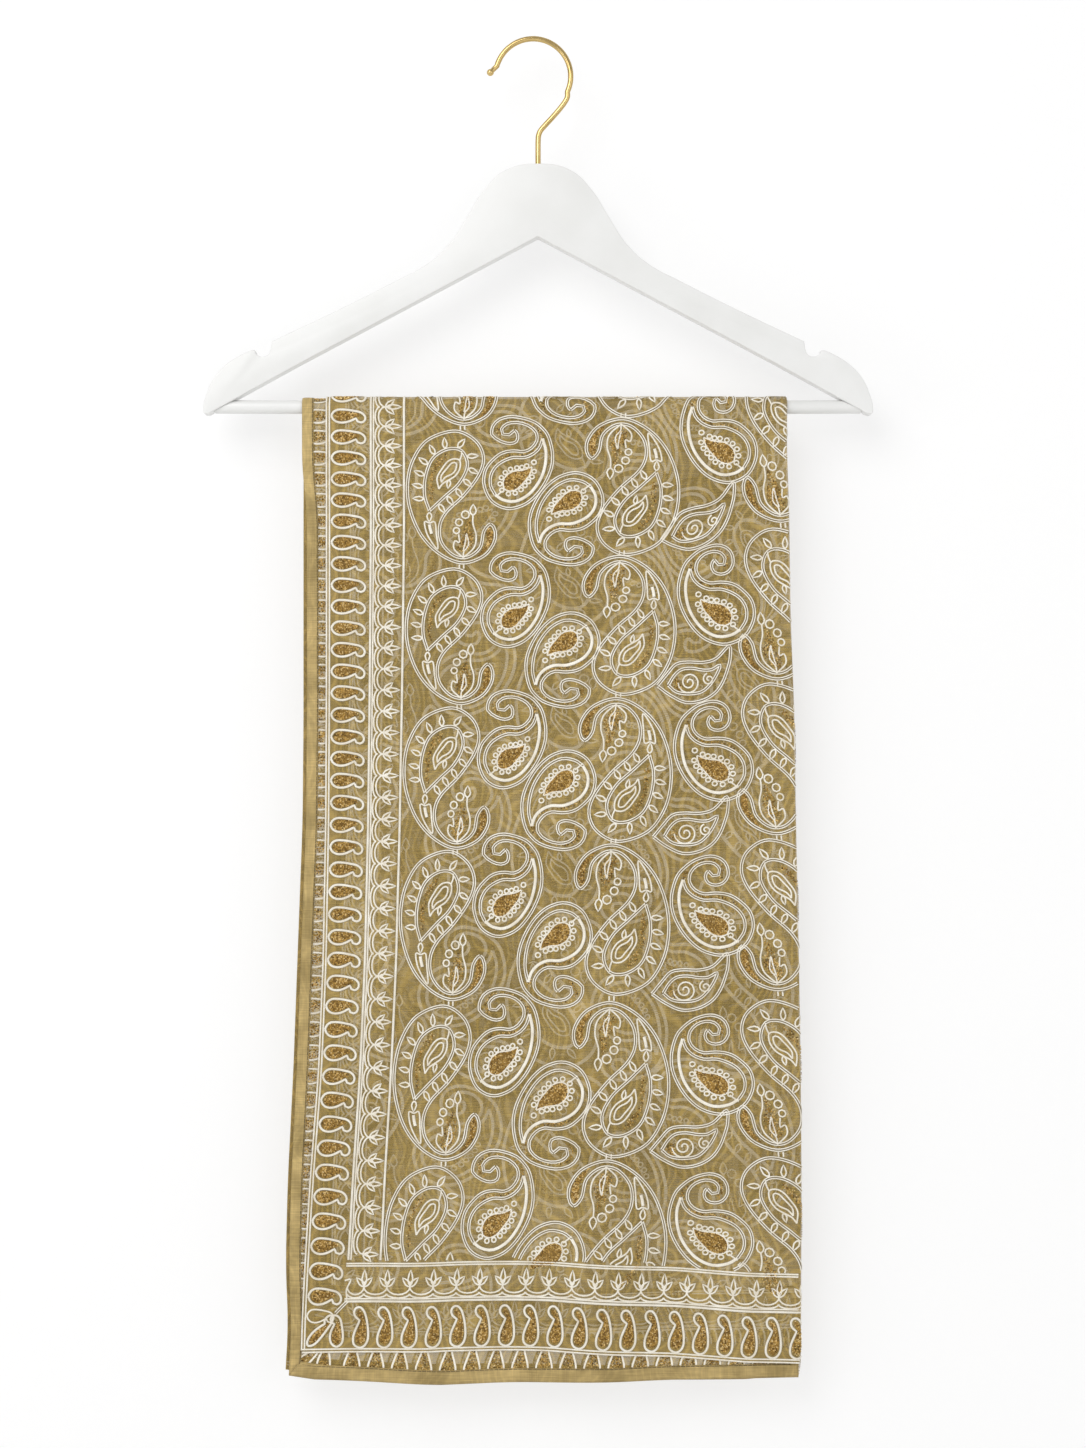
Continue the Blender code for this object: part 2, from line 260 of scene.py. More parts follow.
# %% The cloth's sizes
BAR_Z = -0.2426
STACK_RADIUS = 0.006         # from the bar's axis to halfway between the two plies
STACK_CLOSING = 0.0022       # how far each drop moves towards the other below the bar
CLOSING_DROP = 0.16
PLY_STEP = 0.0014            # between the middles of two plies
FOLD_SWELL = 0.0016          # the plies part by this much more beside the lengthwise fold
FOLD_REACH = 0.014
SWELL_DROP = 0.08
FOLD_WALL = 0.001
WAVE = 0.0024
OWN_WAVE = 0.0007
LONG_WAVE = 0.2
SHORT_WAVE = 0.13
SHORT_SHARE = 0.25
WAVE_TOP = 0.05
WAVE_LEAN = 0.3
LONGEST_DROP = 0.65
HEM_WIDTH = 0.0093
SIDE_HEM_WIDTH = 0.0075
BAR_WRAP = math.pi * STACK_RADIUS
TUCK = 0.003                 # how far the front's under edge stands in, so that the back's shows beside it
TUCK_TOP = 0.03
TUCK_REACH = 0.05
TUCK_WIDTH = 0.3
UPPER = 1                    # the ply whose right side faces out
UNDER = -1

# Long edges in millimetres, down from the bar's axis: left edges of the under and upper ply, and the fold.
EDGES = (
    ("drop", "under", "upper", "fold"),
    (0, -156.2, -139.7, 166.4),
    (27, -156.2, -139.7, 165.8),
    (70, -156.2, -139.7, 167.0),
    (135, -156.1, -139.8, 167.9),
    (205, -156.1, -139.9, 170.6),
    (275, -156.7, -140.3, 171.6),
    (367, -160.2, -142.0, 173.6),
    (440, -162.9, -145.0, 174.8),
    (515, -166.7, -150.8, 175.4),
    (571, -168.1, -154.2, 175.2),
    (612, -166.4, -156.2, 175.0),
    (650, -168.8, -156.8, 174.8),
)
EDGE_SMOOTHING = (-14.0, -7.0, 0.0, 7.0, 14.0)

# How long each ply hangs, in millimetres, across the width from 0, left, to 1, the fold.
DROPS = (
    ("across", "front_upper", "front_under", "back_upper", "back_under"),
    (0.0, 626.8, 642.6, 621.5, 640.5),
    (0.05, 626.6, 645.2, 622.0, 643.0),
    (0.3, 625.3, 648.2, 623.5, 645.8),
    (0.5, 625.8, 647.4, 624.5, 646.0),
    (0.75, 629.4, 645.4, 625.0, 646.8),
    (0.9, 633.0, 644.4, 624.5, 647.0),
    (1.0, 633.8, 644.1, 623.0, 643.9),
)

# Soft creases of the hung cloth, in millimetres: where the middle lies, half length, half width, depth
# (out is positive) and how far it leans sideways over its length. Front and back have their own.
CREASES = (
    ("side", "x", "drop", "long", "wide", "depth", "lean"),
    (-1, -92, 520, 150, 16, 0.9, 22),
    (-1, -48, 575, 90, 12, -0.7, -14),
    (-1, 34, 540, 120, 18, 0.8, 18),
    (-1, 96, 470, 170, 15, -0.7, -20),
    (-1, 146, 330, 210, 9, 0.9, 6),
    (-1, 128, 600, 60, 14, 0.8, 10),
    (-1, -118, 300, 180, 10, -0.6, 8),
    (-1, -12, 250, 120, 20, 0.5, -16),
    (-1, 60, 150, 90, 17, -0.4, 12),
    (1, -86, 500, 140, 15, 0.9, -18),
    (1, -30, 560, 110, 13, -0.7, 16),
    (1, 42, 520, 140, 19, 0.8, -20),
    (1, 110, 450, 160, 14, -0.8, 14),
    (1, 148, 300, 190, 10, 0.8, -6),
    (1, -120, 260, 170, 11, -0.6, -10),
    (1, 14, 210, 110, 18, 0.5, 12),
)
print("cloth table rows:", len(EDGES) - 1, len(DROPS) - 1, len(CREASES) - 1)


# %% Where a point of the flat cloth hangs
def column(table, name):
    """One named column of a table whose first row holds the names."""
    names, *rows = table
    return np.array([row[names.index(name)] for row in rows], float)


def smooth_step(value):
    value = np.clip(value, 0.0, 1.0)
    return value * value * (3.0 - 2.0 * value)


def edge(name, drop):
    """How far across one of the long edges lies at a drop."""
    near = [np.interp(np.asarray(drop) / MM + step, column(EDGES, "drop"), column(EDGES, name))
            for step in EDGE_SMOOTHING]
    return np.mean(near, axis=0) * MM


def drop_length(name, across):
    return np.interp(across, column(DROPS, "across"), column(DROPS, name)) * MM


def fold_start(drop):
    return edge("fold", drop) - (PLY_STEP + FOLD_SWELL) / 2 - FOLD_WALL / 2


def half_spacing(x, drop):
    """Half the way from ply to ply, wider beside the fold."""
    from_fold = np.maximum(edge("fold", drop) - x, 0.0)
    return (PLY_STEP + FOLD_SWELL * np.exp(-from_fold / FOLD_REACH) * smooth_step(drop / SWELL_DROP)) / 2


def sway(x, drop, side):
    """Waves that grow towards the hem, and the creases. side is -1 at the front and 1 at the back."""
    share = (drop - WAVE_TOP) / (LONGEST_DROP - WAVE_TOP)
    across = x * (1.0 + WAVE_LEAN * share) * 2 * math.pi
    shared = ((1.0 - SHORT_SHARE) * np.cos(across / LONG_WAVE + 0.6)
              + SHORT_SHARE * np.cos(across / SHORT_WAVE + share))
    own = np.cos(across / SHORT_WAVE + 2.0 * share + side)
    moved = smooth_step(share) * (WAVE * shared + OWN_WAVE * own)
    names, *rows = CREASES
    for which, middle_x, middle, long, wide, depth, lean in rows:
        down = (drop / MM - middle) / long
        beside = (x / MM - middle_x - lean * down) / wide
        fade = smooth_step(drop / WAVE_TOP) * np.exp(-down ** 2 - beside ** 2)
        moved = moved + np.where(side == which, which * depth * MM * fade, 0.0)
    return moved


def hang(across, run, ply, lift=0.0):
    """Where points of the flat cloth hang, as rows of x, y, z.

    across is X where a ply lies flat, and runs on round the fold. run is the way down the front from the
    bar, and is negative over the bar and down the back. lift stands off the embroidered side."""
    across, run, lift = (np.asarray(v, float) for v in np.broadcast_arrays(across, run, lift))
    over = np.clip(-run / STACK_RADIUS, 0.0, math.pi)
    drop = np.where(run > 0.0, run, np.maximum(-run - BAR_WRAP, 0.0))
    side = np.where(over > math.pi / 2, 1.0, -1.0)
    ring = fold_start(drop)
    flat_x = np.minimum(across, ring)
    tucked = smooth_step((drop - TUCK_TOP) / TUCK_REACH) * np.clip((ring - flat_x) / TUCK_WIDTH, 0.0, 1.0)
    flat_x = flat_x + np.where((side < 0) & (np.asarray(ply) == UNDER), TUCK * tucked, 0.0)
    half = half_spacing(flat_x, drop)
    turn = np.clip((across - ring) / half, 0.0, math.pi / 2)
    x = flat_x + (half + lift) * np.sin(turn)
    middle = STACK_RADIUS - STACK_CLOSING * smooth_step(drop / CLOSING_DROP)
    out = middle + ply * (half + lift) * np.cos(turn)
    y = sway(x, drop, side) - out * np.cos(over)
    z = BAR_Z - drop + out * np.sin(over)
    return np.stack((x, y, z), axis=-1)


print("hem corner hangs at", np.round(hang(-0.15, 0.62, UPPER), 4))

# %% [markdown]
# ## Making and dressing pieces
# Each finished piece rides on the frame's one body, takes its finish, and hides the plain CAD solid that it
# replaces. One helper does this for all of them. A second helper lays a grid on the hung cloth, because the
# net and the hems are all grids that only differ in how they are stretched. Two more draw curves, and one
# gives the finished mesh of any of them.

# %% Piece helpers
def dress(name, mesh, material, slot, *nodes):
    """Make an object from a mesh, ride it on the frame and let it stand for CAD nodes."""
    mesh.name = name
    mesh.materials.clear()
    mesh.materials.append(material)
    piece = add_object(name, mesh)
    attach(piece, "root")
    if nodes:
        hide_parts(*nodes)
    triangles = sum(len(face.vertices) - 2 for face in mesh.polygons)
    print(f"{name}: {triangles} triangles")
    return piece


def get_points(mesh):
    flat = np.empty(len(mesh.vertices) * 3)
    mesh.vertices.foreach_get("co", flat)
    return flat.reshape(-1, 3)


def set_points(mesh, points):
    mesh.vertices.foreach_set("co", np.ascontiguousarray(points, dtype=np.float32).ravel())
    mesh.update()


def add_values(mesh, name, values):
    """A number at each vertex, for materials to read."""
    layer = mesh.attributes.new(name, "FLOAT", "POINT")
    layer.data.foreach_set("value", np.ascontiguousarray(values, dtype=np.float32))


def cloth_grid(name, columns, rows, flat_place, ply_of, lift_of=None, turned=False):
    """A grid on the hung cloth: flat_place gives across and run for u and v from 0 to 1."""
    maker = bmesh.new()
    bmesh.ops.create_grid(maker, x_segments=columns, y_segments=rows, size=0.5)
    if turned:
        bmesh.ops.reverse_faces(maker, faces=maker.faces)
    mesh = to_mesh(name, maker)
    u, v = (get_points(mesh) + 0.5).T[:2]
    across, run = flat_place(u, v)
    lift = 0.0 if lift_of is None else lift_of(u, v)
    set_points(mesh, hang(across, run, ply_of(u, v), lift))
    chart = mesh.uv_layers.new(name="cloth")
    corners = np.empty(len(mesh.loops), int)
    mesh.loops.foreach_get("vertex_index", corners)
    chart.data.foreach_set("uv", np.stack((across, run), axis=-1)[corners].ravel())
    mesh.shade_smooth()
    return mesh


def evaluated_mesh(thing):
    """The finished mesh of a curve or of an object with modifiers; the object itself is removed."""
    bpy.context.view_layer.update()
    shaped = thing.evaluated_get(bpy.context.evaluated_depsgraph_get())
    mesh = bpy.data.meshes.new_from_object(shaped)
    bpy.data.objects.remove(thing, do_unlink=True)
    return mesh


def new_curve(name, **settings):
    curve = bpy.data.curves.new(name, "CURVE")
    curve.dimensions = "3D"
    for setting, value in settings.items():
        setattr(curve, setting, value)
    return curve


def add_line(curve, points, closed=False):
    """A chain of straight steps through rows of x, y and z."""
    line = curve.splines.new("POLY")
    line.points.add(len(points) - 1)
    line.points.foreach_set("co", np.column_stack((points, np.ones(len(points)))).ravel())
    line.use_cyclic_u = closed
    return line


# %% [markdown]
# ## Painted wood
# The hanger is wood under a satin white paint. Plain white would look like plastic, so the paint gets a soft
# mottling in its tone and gloss and a very slight orange-peel relief, as sprayed paint has. The same
# mottling, larger or smaller, also tones the cloth, so it is a group that each finish gives its own scale and
# colours.

# %% Mottled tone group and the paint
group, given, result = start_group(
    "mottled_tone",
    [("Vector", "NodeSocketVector", (0.0, 0.0, 0.0)), ("Scale", "NodeSocketFloat", 5.0),
     ("Detail", "NodeSocketFloat", 3.0), ("Light", "NodeSocketColor", (1.0, 1.0, 1.0, 1.0)),
     ("Dark", "NodeSocketColor", (0.5, 0.5, 0.5, 1.0))],
    [("Color", "NodeSocketColor"), ("Mask", "NodeSocketFloat")],
)
cloud = noise(group, given["Vector"], given["Scale"], given["Detail"], 0.55)
mask = ranged(group, cloud, 0.0, 1.0, 0.32, 0.68)
fill_inputs(result, {"Color": mixed(group, mask, given["Dark"], given["Light"]), "Mask": mask})

paint, tree, shader = start_material("satin_white_paint", Coat_Weight=0.12, Coat_Roughness=0.25)
tone = mottled(tree, 22.0, (0.79, 0.79, 0.78), (0.75, 0.75, 0.735))
peel = noise(tree, object_place(tree), 900.0, 1.0)
fill_inputs(shader, {"Base Color": tone["Color"], "Roughness": ranged(tree, tone["Mask"], 0.34, 0.46),
                     "Normal": relief(tree, peel, 0.00003, 0.6)})
print("paint nodes:", len(tree.nodes))

# %% [markdown]
# ## The hanger's body
# It is one flat board, cut to an outline with a hump for the hook, two long arms, and a notch in each arm for
# straps. The outline is drawn as half a curve with smooth and sharp knots and mirrored. It could stay a
# filled curve, but a face made from it can be extruded and its rim bevelled like sanded wood. The bar's
# sockets and the stem's hole are cut with cylinders.

# %% Hanger body
BODY_THICKNESS = 0.012
BODY_EDGE = 0.0009
HUMP_TOP_Z = -0.082
APEX_Z = -0.1305
BAR_RADIUS = 0.0045
BAR_HALF = 0.2145
SOCKET_START = 0.185
FIT = 0.0003                 # play of the bar and the stem in their holes
WIRE_RADIUS = 0.00175
STEM_BOTTOM_Z = -0.094
HOLE_BOTTOM_Z = -0.0965
HOLE_OVER = 0.01             # the hole's cutter reaches this far over the hump

OUTLINE = (
    ("x", "z", "smooth"),
    (21.4, -86.2, 1),
    (36.3, -100.2, 1),
    (47.0, -117.3, 1),
    (58.7, -135.2, 1),
    (73.5, -148.6, 1),
    (94.0, -159.6, 1),
    (131.1, -178.3, 1),
    (176.3, -199.7, 0),
    (176.9, -204.5, 0),
    (178.6, -208.3, 1),
    (182.2, -209.8, 1),
    (185.9, -208.7, 1),
    (187.4, -205.8, 0),
    (188.7, -205.5, 1),
    (198.4, -209.7, 1),
    (207.7, -216.1, 1),
    (215.3, -224.9, 1),
    (219.7, -234.6, 1),
    (221.9, -244.3, 1),
    (221.3, -247.4, 1),
    (218.8, -247.9, 1),
    (214.6, -245.7, 0),
    (157.6, -214.4, 0),
    (78.1, -172.2, 0),
)


def outline_mesh():
    """The whole outline as a closed chain of edges in the XZ plane."""
    right = [(x * MM, z * MM, smooth) for x, z, smooth in OUTLINE[1:]]
    left = [(-x, z, smooth) for x, z, smooth in reversed(right)]
    knots = [(0.0, HUMP_TOP_Z, 1)] + right + [(0.0, APEX_Z, 0)] + left
    drawing = new_curve("outline", resolution_u=8)
    spline = drawing.splines.new("BEZIER")
    spline.bezier_points.add(len(knots) - 1)
    spline.use_cyclic_u = True
    for knot, (x, z, smooth) in zip(spline.bezier_points, knots):
        knot.co = (x, -BODY_THICKNESS / 2, z)
        knot.handle_left_type = knot.handle_right_type = "AUTO" if smooth else "VECTOR"
    return evaluated_mesh(add_object("outline", drawing))


def rod(name, radius, start, end, sides):
    """A plain round cutter from start to end."""
    start, end = Vector(start), Vector(end)
    maker = bmesh.new()
    bmesh.ops.create_cone(maker, cap_ends=True, segments=sides, radius1=radius, radius2=radius,
                          depth=(end - start).length)
    bmesh.ops.rotate(maker, verts=maker.verts, matrix=(end - start).to_track_quat("Z", "Y").to_matrix())
    bmesh.ops.translate(maker, verts=maker.verts, vec=(start + end) / 2)
    return add_object(name, to_mesh(name, maker))


board = bmesh.new()
board.from_mesh(outline_mesh())
bmesh.ops.remove_doubles(board, verts=board.verts, dist=1e-6)
front_face = bmesh.ops.contextual_create(board, geom=board.edges[:])["faces"]
grown = bmesh.ops.extrude_face_region(board, geom=front_face)
back_points = [item for item in grown["geom"] if isinstance(item, bmesh.types.BMVert)]
bmesh.ops.translate(board, verts=back_points, vec=(0.0, BODY_THICKNESS, 0.0))
bmesh.ops.recalc_face_normals(board, faces=board.faces)
rims = [e for e in board.edges if e.calc_face_angle(0.0) > math.radians(60)
        and abs(e.verts[0].co.y - e.verts[1].co.y) < 1e-6]
bmesh.ops.bevel(board, geom=rims, offset=BODY_EDGE, segments=3, profile=0.5, affect="EDGES", material=-1)
body = add_object("body", to_mesh("body", board))
holes = [rod(f"socket_{side}", BAR_RADIUS + FIT, (side * SOCKET_START, 0, BAR_Z),
             (side * (BAR_HALF + FIT), 0, BAR_Z), 32) for side in (-1, 1)]
holes.append(rod("stem_hole", WIRE_RADIUS + FIT, (0, 0, HOLE_BOTTOM_Z), (0, 0, HUMP_TOP_Z + HOLE_OVER), 24))
for hole in holes:
    cut = body.modifiers.new(hole.name, "BOOLEAN")
    cut.operation = "DIFFERENCE"
    cut.solver = "EXACT"
    cut.object = hole
body_mesh = evaluated_mesh(body)
for hole in holes:
    bpy.data.objects.remove(hole, do_unlink=True)
body_mesh.shade_smooth()
body_mesh.set_sharp_from_angle(angle=math.radians(28))
dress("hanger_board", body_mesh, paint, "painted_wood", "hanger_body")

# %% [markdown]
# ## The bar
# A round wooden dowel joins the arms. It is turned, not cast, so its ends are chamfered to slip into their
# sockets, and it has the least bow along its length. A cone with equal ends, bevelled and cut into rings, is
# the quickest way to a rod that can bow.

# %% Bar
BAR_BOW = 0.00025
BAR_CHAMFER = 0.0008
dowel = bmesh.new()
bmesh.ops.create_cone(dowel, cap_ends=True, segments=40, radius1=BAR_RADIUS, radius2=BAR_RADIUS,
                      depth=2 * BAR_HALF)
bmesh.ops.rotate(dowel, verts=dowel.verts, matrix=Matrix.Rotation(math.radians(90), 3, "Y"))
ends = [e for e in dowel.edges if e.calc_face_angle(0.0) > math.radians(60)]
bmesh.ops.bevel(dowel, geom=ends, offset=BAR_CHAMFER, segments=3, profile=0.5, affect="EDGES", material=-1)
long_edges = [e for e in dowel.edges if abs(e.verts[0].co.x - e.verts[1].co.x) > BAR_HALF]
bmesh.ops.subdivide_edges(dowel, edges=long_edges, cuts=11, use_grid_fill=True)
for point in dowel.verts:
    point.co.z += BAR_Z - BAR_BOW * (1.0 - (point.co.x / BAR_HALF) ** 2)
bar_mesh = to_mesh("hanger_dowel", dowel)
bar_mesh.shade_smooth()
bar_mesh.set_sharp_from_angle(angle=math.radians(40))
dress("hanger_dowel", bar_mesh, paint, "painted_wood", "hanger_bar")

# %% [markdown]
# ## The brass hook
# The hook is bent wire with a small ball at its tip, so that it doesn't scratch. A curve with a round bevel
# is the natural tool: the same tube thickens into the ball through the radius of its first points, so the
# tip and the wire are one smooth piece. Polished brass is a metal with fine drawing marks along the wire.

# %% Brass and hook
brass, tree, shader = start_material("polished_brass", Metallic=1.0, Specular_Tint=(0.42, 0.34, 0.13, 1.0))
tone = mottled(tree, 60.0, (0.70, 0.52, 0.23), (0.56, 0.40, 0.16))
marks = noise(tree, object_place(tree), 2600.0, 2.0)
fill_inputs(shader, {"Base Color": tone["Color"], "Roughness": ranged(tree, tone["Mask"], 0.14, 0.24),
                     "Normal": relief(tree, marks, 0.00001, 0.5)})

BALL_RADIUS = 0.0023
HOOK_RADIUS = 0.025
HOOK_X = -0.0033
HOOK_START = 164.0
HOOK_END = -24.0
HOOK_STEPS = 60
BALL_OUT = 0.0284
BALL_UP = 0.0026
BALL_STEPS = 10
BALL_TIP = 0.04              # radians, where the ball's first ring stands
BALL_NECK = 0.75             # radians left where the ball meets the wire
WIRE_STEP = 0.0012
WIRE = (
    ("x", "z"),
    (19.2, -37.6),
    (15.4, -43.4),
    (9.6, -50.2),
    (4.6, -55.6),
    (1.6, -59.2),
    (0.3, -62.6),
    (0.0, -67.0),
)


def soft_line(points, step, closed=False):
    """A smooth line through charted points, with a point about every step (Catmull-Rom)."""
    points = np.asarray(points, float)
    if closed:
        before, after = points[-1:], points[:2]
        points = np.concatenate((before, points, after))
    else:
        points = np.concatenate((2 * points[:1] - points[1:2], points, 2 * points[-1:] - points[-2:-1]))
    line = []
    for a, b, c, d in zip(points, points[1:], points[2:], points[3:]):
        count = max(int(round(np.linalg.norm(c - b) / step)), 1)
        t = (np.arange(count) / count)[:, None]
        line.append(0.5 * (2 * b + (c - a) * t + (2 * a - 5 * b + 4 * c - d) * t ** 2
                           + (3 * b - a - 3 * c + d) * t ** 3))
    if not closed:
        line.append(points[-2:-1])
    return np.concatenate(line)


centre_z = -math.sqrt((HOOK_RADIUS - WIRE_RADIUS) ** 2 - HOOK_X ** 2)
angles = np.radians(np.linspace(HOOK_START, HOOK_END, HOOK_STEPS + 1))
arc = np.stack((HOOK_X + HOOK_RADIUS * np.cos(angles), centre_z + HOOK_RADIUS * np.sin(angles)), axis=-1)
ball = np.array([(HOOK_X - BALL_OUT, centre_z + BALL_UP)])
neck = np.stack((column(WIRE, "x"), column(WIRE, "z")), axis=-1) * MM
lower = soft_line(np.concatenate((arc[-1:], neck)), WIRE_STEP)
stem = np.array([(0.0, STEM_BOTTOM_Z)])
outwards = (ball - arc[:1]) / np.linalg.norm(ball - arc[:1])
along_ball = BALL_RADIUS * np.cos(np.linspace(BALL_TIP, math.pi - BALL_NECK, BALL_STEPS))
ball_line = ball + outwards * along_ball[:, None]
ball_sizes = np.sqrt(BALL_RADIUS ** 2 - along_ball ** 2) / WIRE_RADIUS
route = np.concatenate((ball_line, arc[:-1], lower, stem))
sizes = np.concatenate((ball_sizes, np.ones(len(route) - BALL_STEPS)))

wire = new_curve("hook", bevel_depth=WIRE_RADIUS, bevel_resolution=6, use_fill_caps=True)
line = add_line(wire, np.insert(route, 1, 0.0, axis=1))
line.points.foreach_set("radius", sizes)
wire_mesh = evaluated_mesh(add_object("hook_wire", wire))
wire_mesh.shade_smooth()
dress("hook_wire", wire_mesh, brass, "brass", "hook")

# %% [markdown]
# ## The net
# The ground is a sheer woven net, one layer of it nearly see-through: four layers hang behind each other
# here. Each is a single thin surface whose alpha lets the layers behind show, as ghosts of their embroidery
# do. The threads are too fine to model, so they are streaks of colour, thickness and relief that run along
# the weave, on the cloth's own map, where one unit is a metre of cloth.

# %% Thread streaks group, net and hem finishes
group, given, result = start_group(
    "thread_streaks",
    [("Vector", "NodeSocketVector", (0.0, 0.0, 0.0)), ("Fine", "NodeSocketFloat", 1300.0),
     ("Slub", "NodeSocketFloat", 45.0)],
    [("Weft", "NodeSocketFloat"), ("Warp", "NodeSocketFloat")],
)
for label, order in (("Weft", ("Slub", "Fine")), ("Warp", ("Fine", "Slub"))):
    stretch = add_node(group, "CombineXYZ", {"X": given[order[0]], "Y": given[order[1]], "Z": 1.0})
    pulled = times(group, given["Vector"], stretch)
    fill_inputs(result, {label: noise(group, pulled, 1.0, 2.0, 0.6)})


def cloth_material(name, light, dark, mottle, watered, cover, roughness):
    """A woven finish: mottled colour, thread streaks, watered lines, and a cover from thin to thick."""
    material, tree, shader = start_material(name, Sheen_Weight=0.2, Sheen_Roughness=0.4, Roughness=roughness)
    chart = add_node(tree, "UVMap", {}, "UV", uv_map="cloth")
    threads = use_group(tree, "thread_streaks", {"Vector": chart})
    both = calculate(tree, "ADD", threads["Weft"], threads["Warp"])
    waves = add_node(tree, "TexWave", {"Vector": chart, "Scale": 50.0, "Distortion": 22.0, "Detail": 0.5,
                                       "Detail Scale": 0.7, "Detail Roughness": 0.4}, "Fac")
    shade = mottled(tree, mottle, light, dark)["Color"]
    shade = times(tree, shade, ranged(tree, both, 0.85, 1.15, 0.7, 1.3))
    shade = times(tree, shade, ranged(tree, waves, 1.0, 1.0 + watered, 0.5, 1.0))
    fill_inputs(shader, {"Base Color": shade, "Alpha": ranged(tree, threads["Weft"], *cover, 0.35, 0.65),
                         "Normal": relief(tree, both, 0.00025, 0.7)})
    return material


net = cloth_material("sheer_net", (0.405, 0.288, 0.088), (0.30, 0.206, 0.05), 11.0, 0.45, (0.47, 0.62), 0.7)
hem_cloth = cloth_material("turned_hem", (0.53, 0.385, 0.15), (0.33, 0.235, 0.08), 55.0, 0.12,
                           (0.86, 0.98), 0.62)
print("cloth finishes:", net.name, hem_cloth.name)

# %% [markdown]
# ## The whole cloth in one piece
# The stole is one cloth, folded along its length and hung over the bar, so it is made as one grid: across
# from the upper ply's edge, round the fold, to the under ply's edge, and along from the front hem over the
# bar to the back hem. Four separate plies would need seams that the real one doesn't have.

# %% Net sheet
SIDE_COLUMNS = 78            # grid faces across one ply with its half of the fold
TURN_COLUMNS = 4             # of those, the ones round the fold
LONG_ROWS = 330
BAR_SHARE = 0.045            # share of the rows that go over the bar
FLAT_SHARE = 1.0 - TURN_COLUMNS / SIDE_COLUMNS


def along_cloth(v, front, back):
    """run for v from 0, the front hem, to 1, the back hem, where the two drops hang front and back long."""
    down = 0.5 - BAR_SHARE / 2
    on_front = front * (1.0 - v / down)
    on_bar = -BAR_WRAP * (v - down) / BAR_SHARE
    on_back = -BAR_WRAP - back * (v - 1.0 + down) / down
    return np.where(v < down, on_front, np.where(v < 1.0 - down, on_bar, on_back))


def drop_of(run):
    return np.where(run > 0.0, run, np.maximum(-run - BAR_WRAP, 0.0))


def run_of(side, drop):
    """The way down the front, or over the bar and down the back, to a drop."""
    return drop if side == "front" else -BAR_WRAP - drop


def net_place(u, v):
    share = 1.0 - np.abs(2.0 * u - 1.0)              # 0 at a ply's edge and 1 in the middle of the fold
    round_fold = np.clip((share - FLAT_SHARE) / (1.0 - FLAT_SHARE), 0.0, 1.0)
    across = np.minimum(share / FLAT_SHARE, 1.0)
    under = u > 0.5
    lengths = []
    for drop_name in ("front", "back"):
        upper = drop_length(drop_name + "_upper", across)
        lower = drop_length(drop_name + "_under", across)
        lower = lower + round_fold * (drop_length(drop_name + "_upper", 1.0) - lower)
        lengths.append(np.where(under, lower, upper))
    run = along_cloth(v, *lengths)
    drop = drop_of(run)
    ring = fold_start(drop)
    left = np.where(under, edge("under", drop), edge("upper", drop))
    flat = left + across * (ring - left)
    return flat + round_fold * half_spacing(ring, drop) * math.pi / 2, run


net_mesh = cloth_grid("net_cloth", 2 * SIDE_COLUMNS, LONG_ROWS, net_place,
                      lambda u, v: np.where(u > 0.5, UNDER, UPPER))
net_cloth = dress("net_cloth", net_mesh, net, "khaki_net",
                  "front_outer_ply", "front_inner_ply", "front_fold", "back_outer_ply", "back_inner_ply",
                  "back_fold", "bar_outer_ply", "bar_inner_ply", "bar_fold")

# %% [markdown]
# ## The hems
# The cloth's raw edges are turned to the wrong side and stitched. The under ply's hems face the viewer,
# because that ply is seen from its wrong side, and the upper ply's show through it as a darker band. Each is
# a narrow strip, mitred at the corner, a hair off the net, thickened a little and softly rounded. The dark
# stitches along the under ply's hems are partly painted shade: they also draw the shadow line at a hem's
# inner edge.

# %% Hem strips
HEM_LIFT = 0.0003
HEM_ROUND = 0.00035
HEM_THICKNESS = 0.0003
HEM_ROWS = 6                 # grid faces across a hem
HEM_COLUMNS = 120            # and along one at the cloth's ends
SEAM_INSET = 0.0086          # from the cloth's ends to the row of stitches
SIDE_SEAM_INSET = 0.0068     # from its long edge to the same row there
SEAM_LIFT = 0.0006
SEAM_RADIUS = 0.00034
SEAM_STITCH = 0.0027
SEAM_PITCH = 0.0032
SEAM_END = 0.335             # the last stitch of a hem starts before this
HEM_SPAN = 0.34              # the width that the stitches of a hem are shared over


def soft_hem(u_or_v):
    """How far a hem stands off the wrong side, rounded towards both its edges."""
    return -HEM_LIFT - HEM_ROUND * np.sqrt(np.maximum(1.0 - (2.0 * u_or_v - 1.0) ** 2, 0.0))


def side_hem(ply_name, ply):
    def place(u, v):
        run = along_cloth(v, drop_length("front_" + ply_name, 0.0) - u * HEM_WIDTH,
                          drop_length("back_" + ply_name, 0.0) - u * HEM_WIDTH)
        return edge(ply_name, drop_of(run)) + u * SIDE_HEM_WIDTH, run

    return cloth_grid(f"{ply_name}_side_hem", HEM_ROWS, LONG_ROWS, place, lambda u, v: ply,
                      lambda u, v: soft_hem(u), turned=True)


def end_hem(side, ply_name, ply):
    def place(u, v):
        drop = drop_length(f"{side}_{ply_name}", u) - v * HEM_WIDTH
        left = edge(ply_name, drop) + v * SIDE_HEM_WIDTH
        return left + u * (fold_start(drop) - left), run_of(side, drop)

    return cloth_grid(f"{side}_{ply_name}_hem", HEM_COLUMNS, HEM_ROWS, place, lambda u, v: ply,
                      lambda u, v: soft_hem(v), turned=side == "front")


def add_hem(mesh, *nodes):
    piece = dress(mesh.name, mesh, hem_cloth, "khaki_hem", *nodes)
    wall = piece.modifiers.new("thickness", "SOLIDIFY")
    wall.thickness = HEM_THICKNESS
    wall.offset = -1.0
    return piece


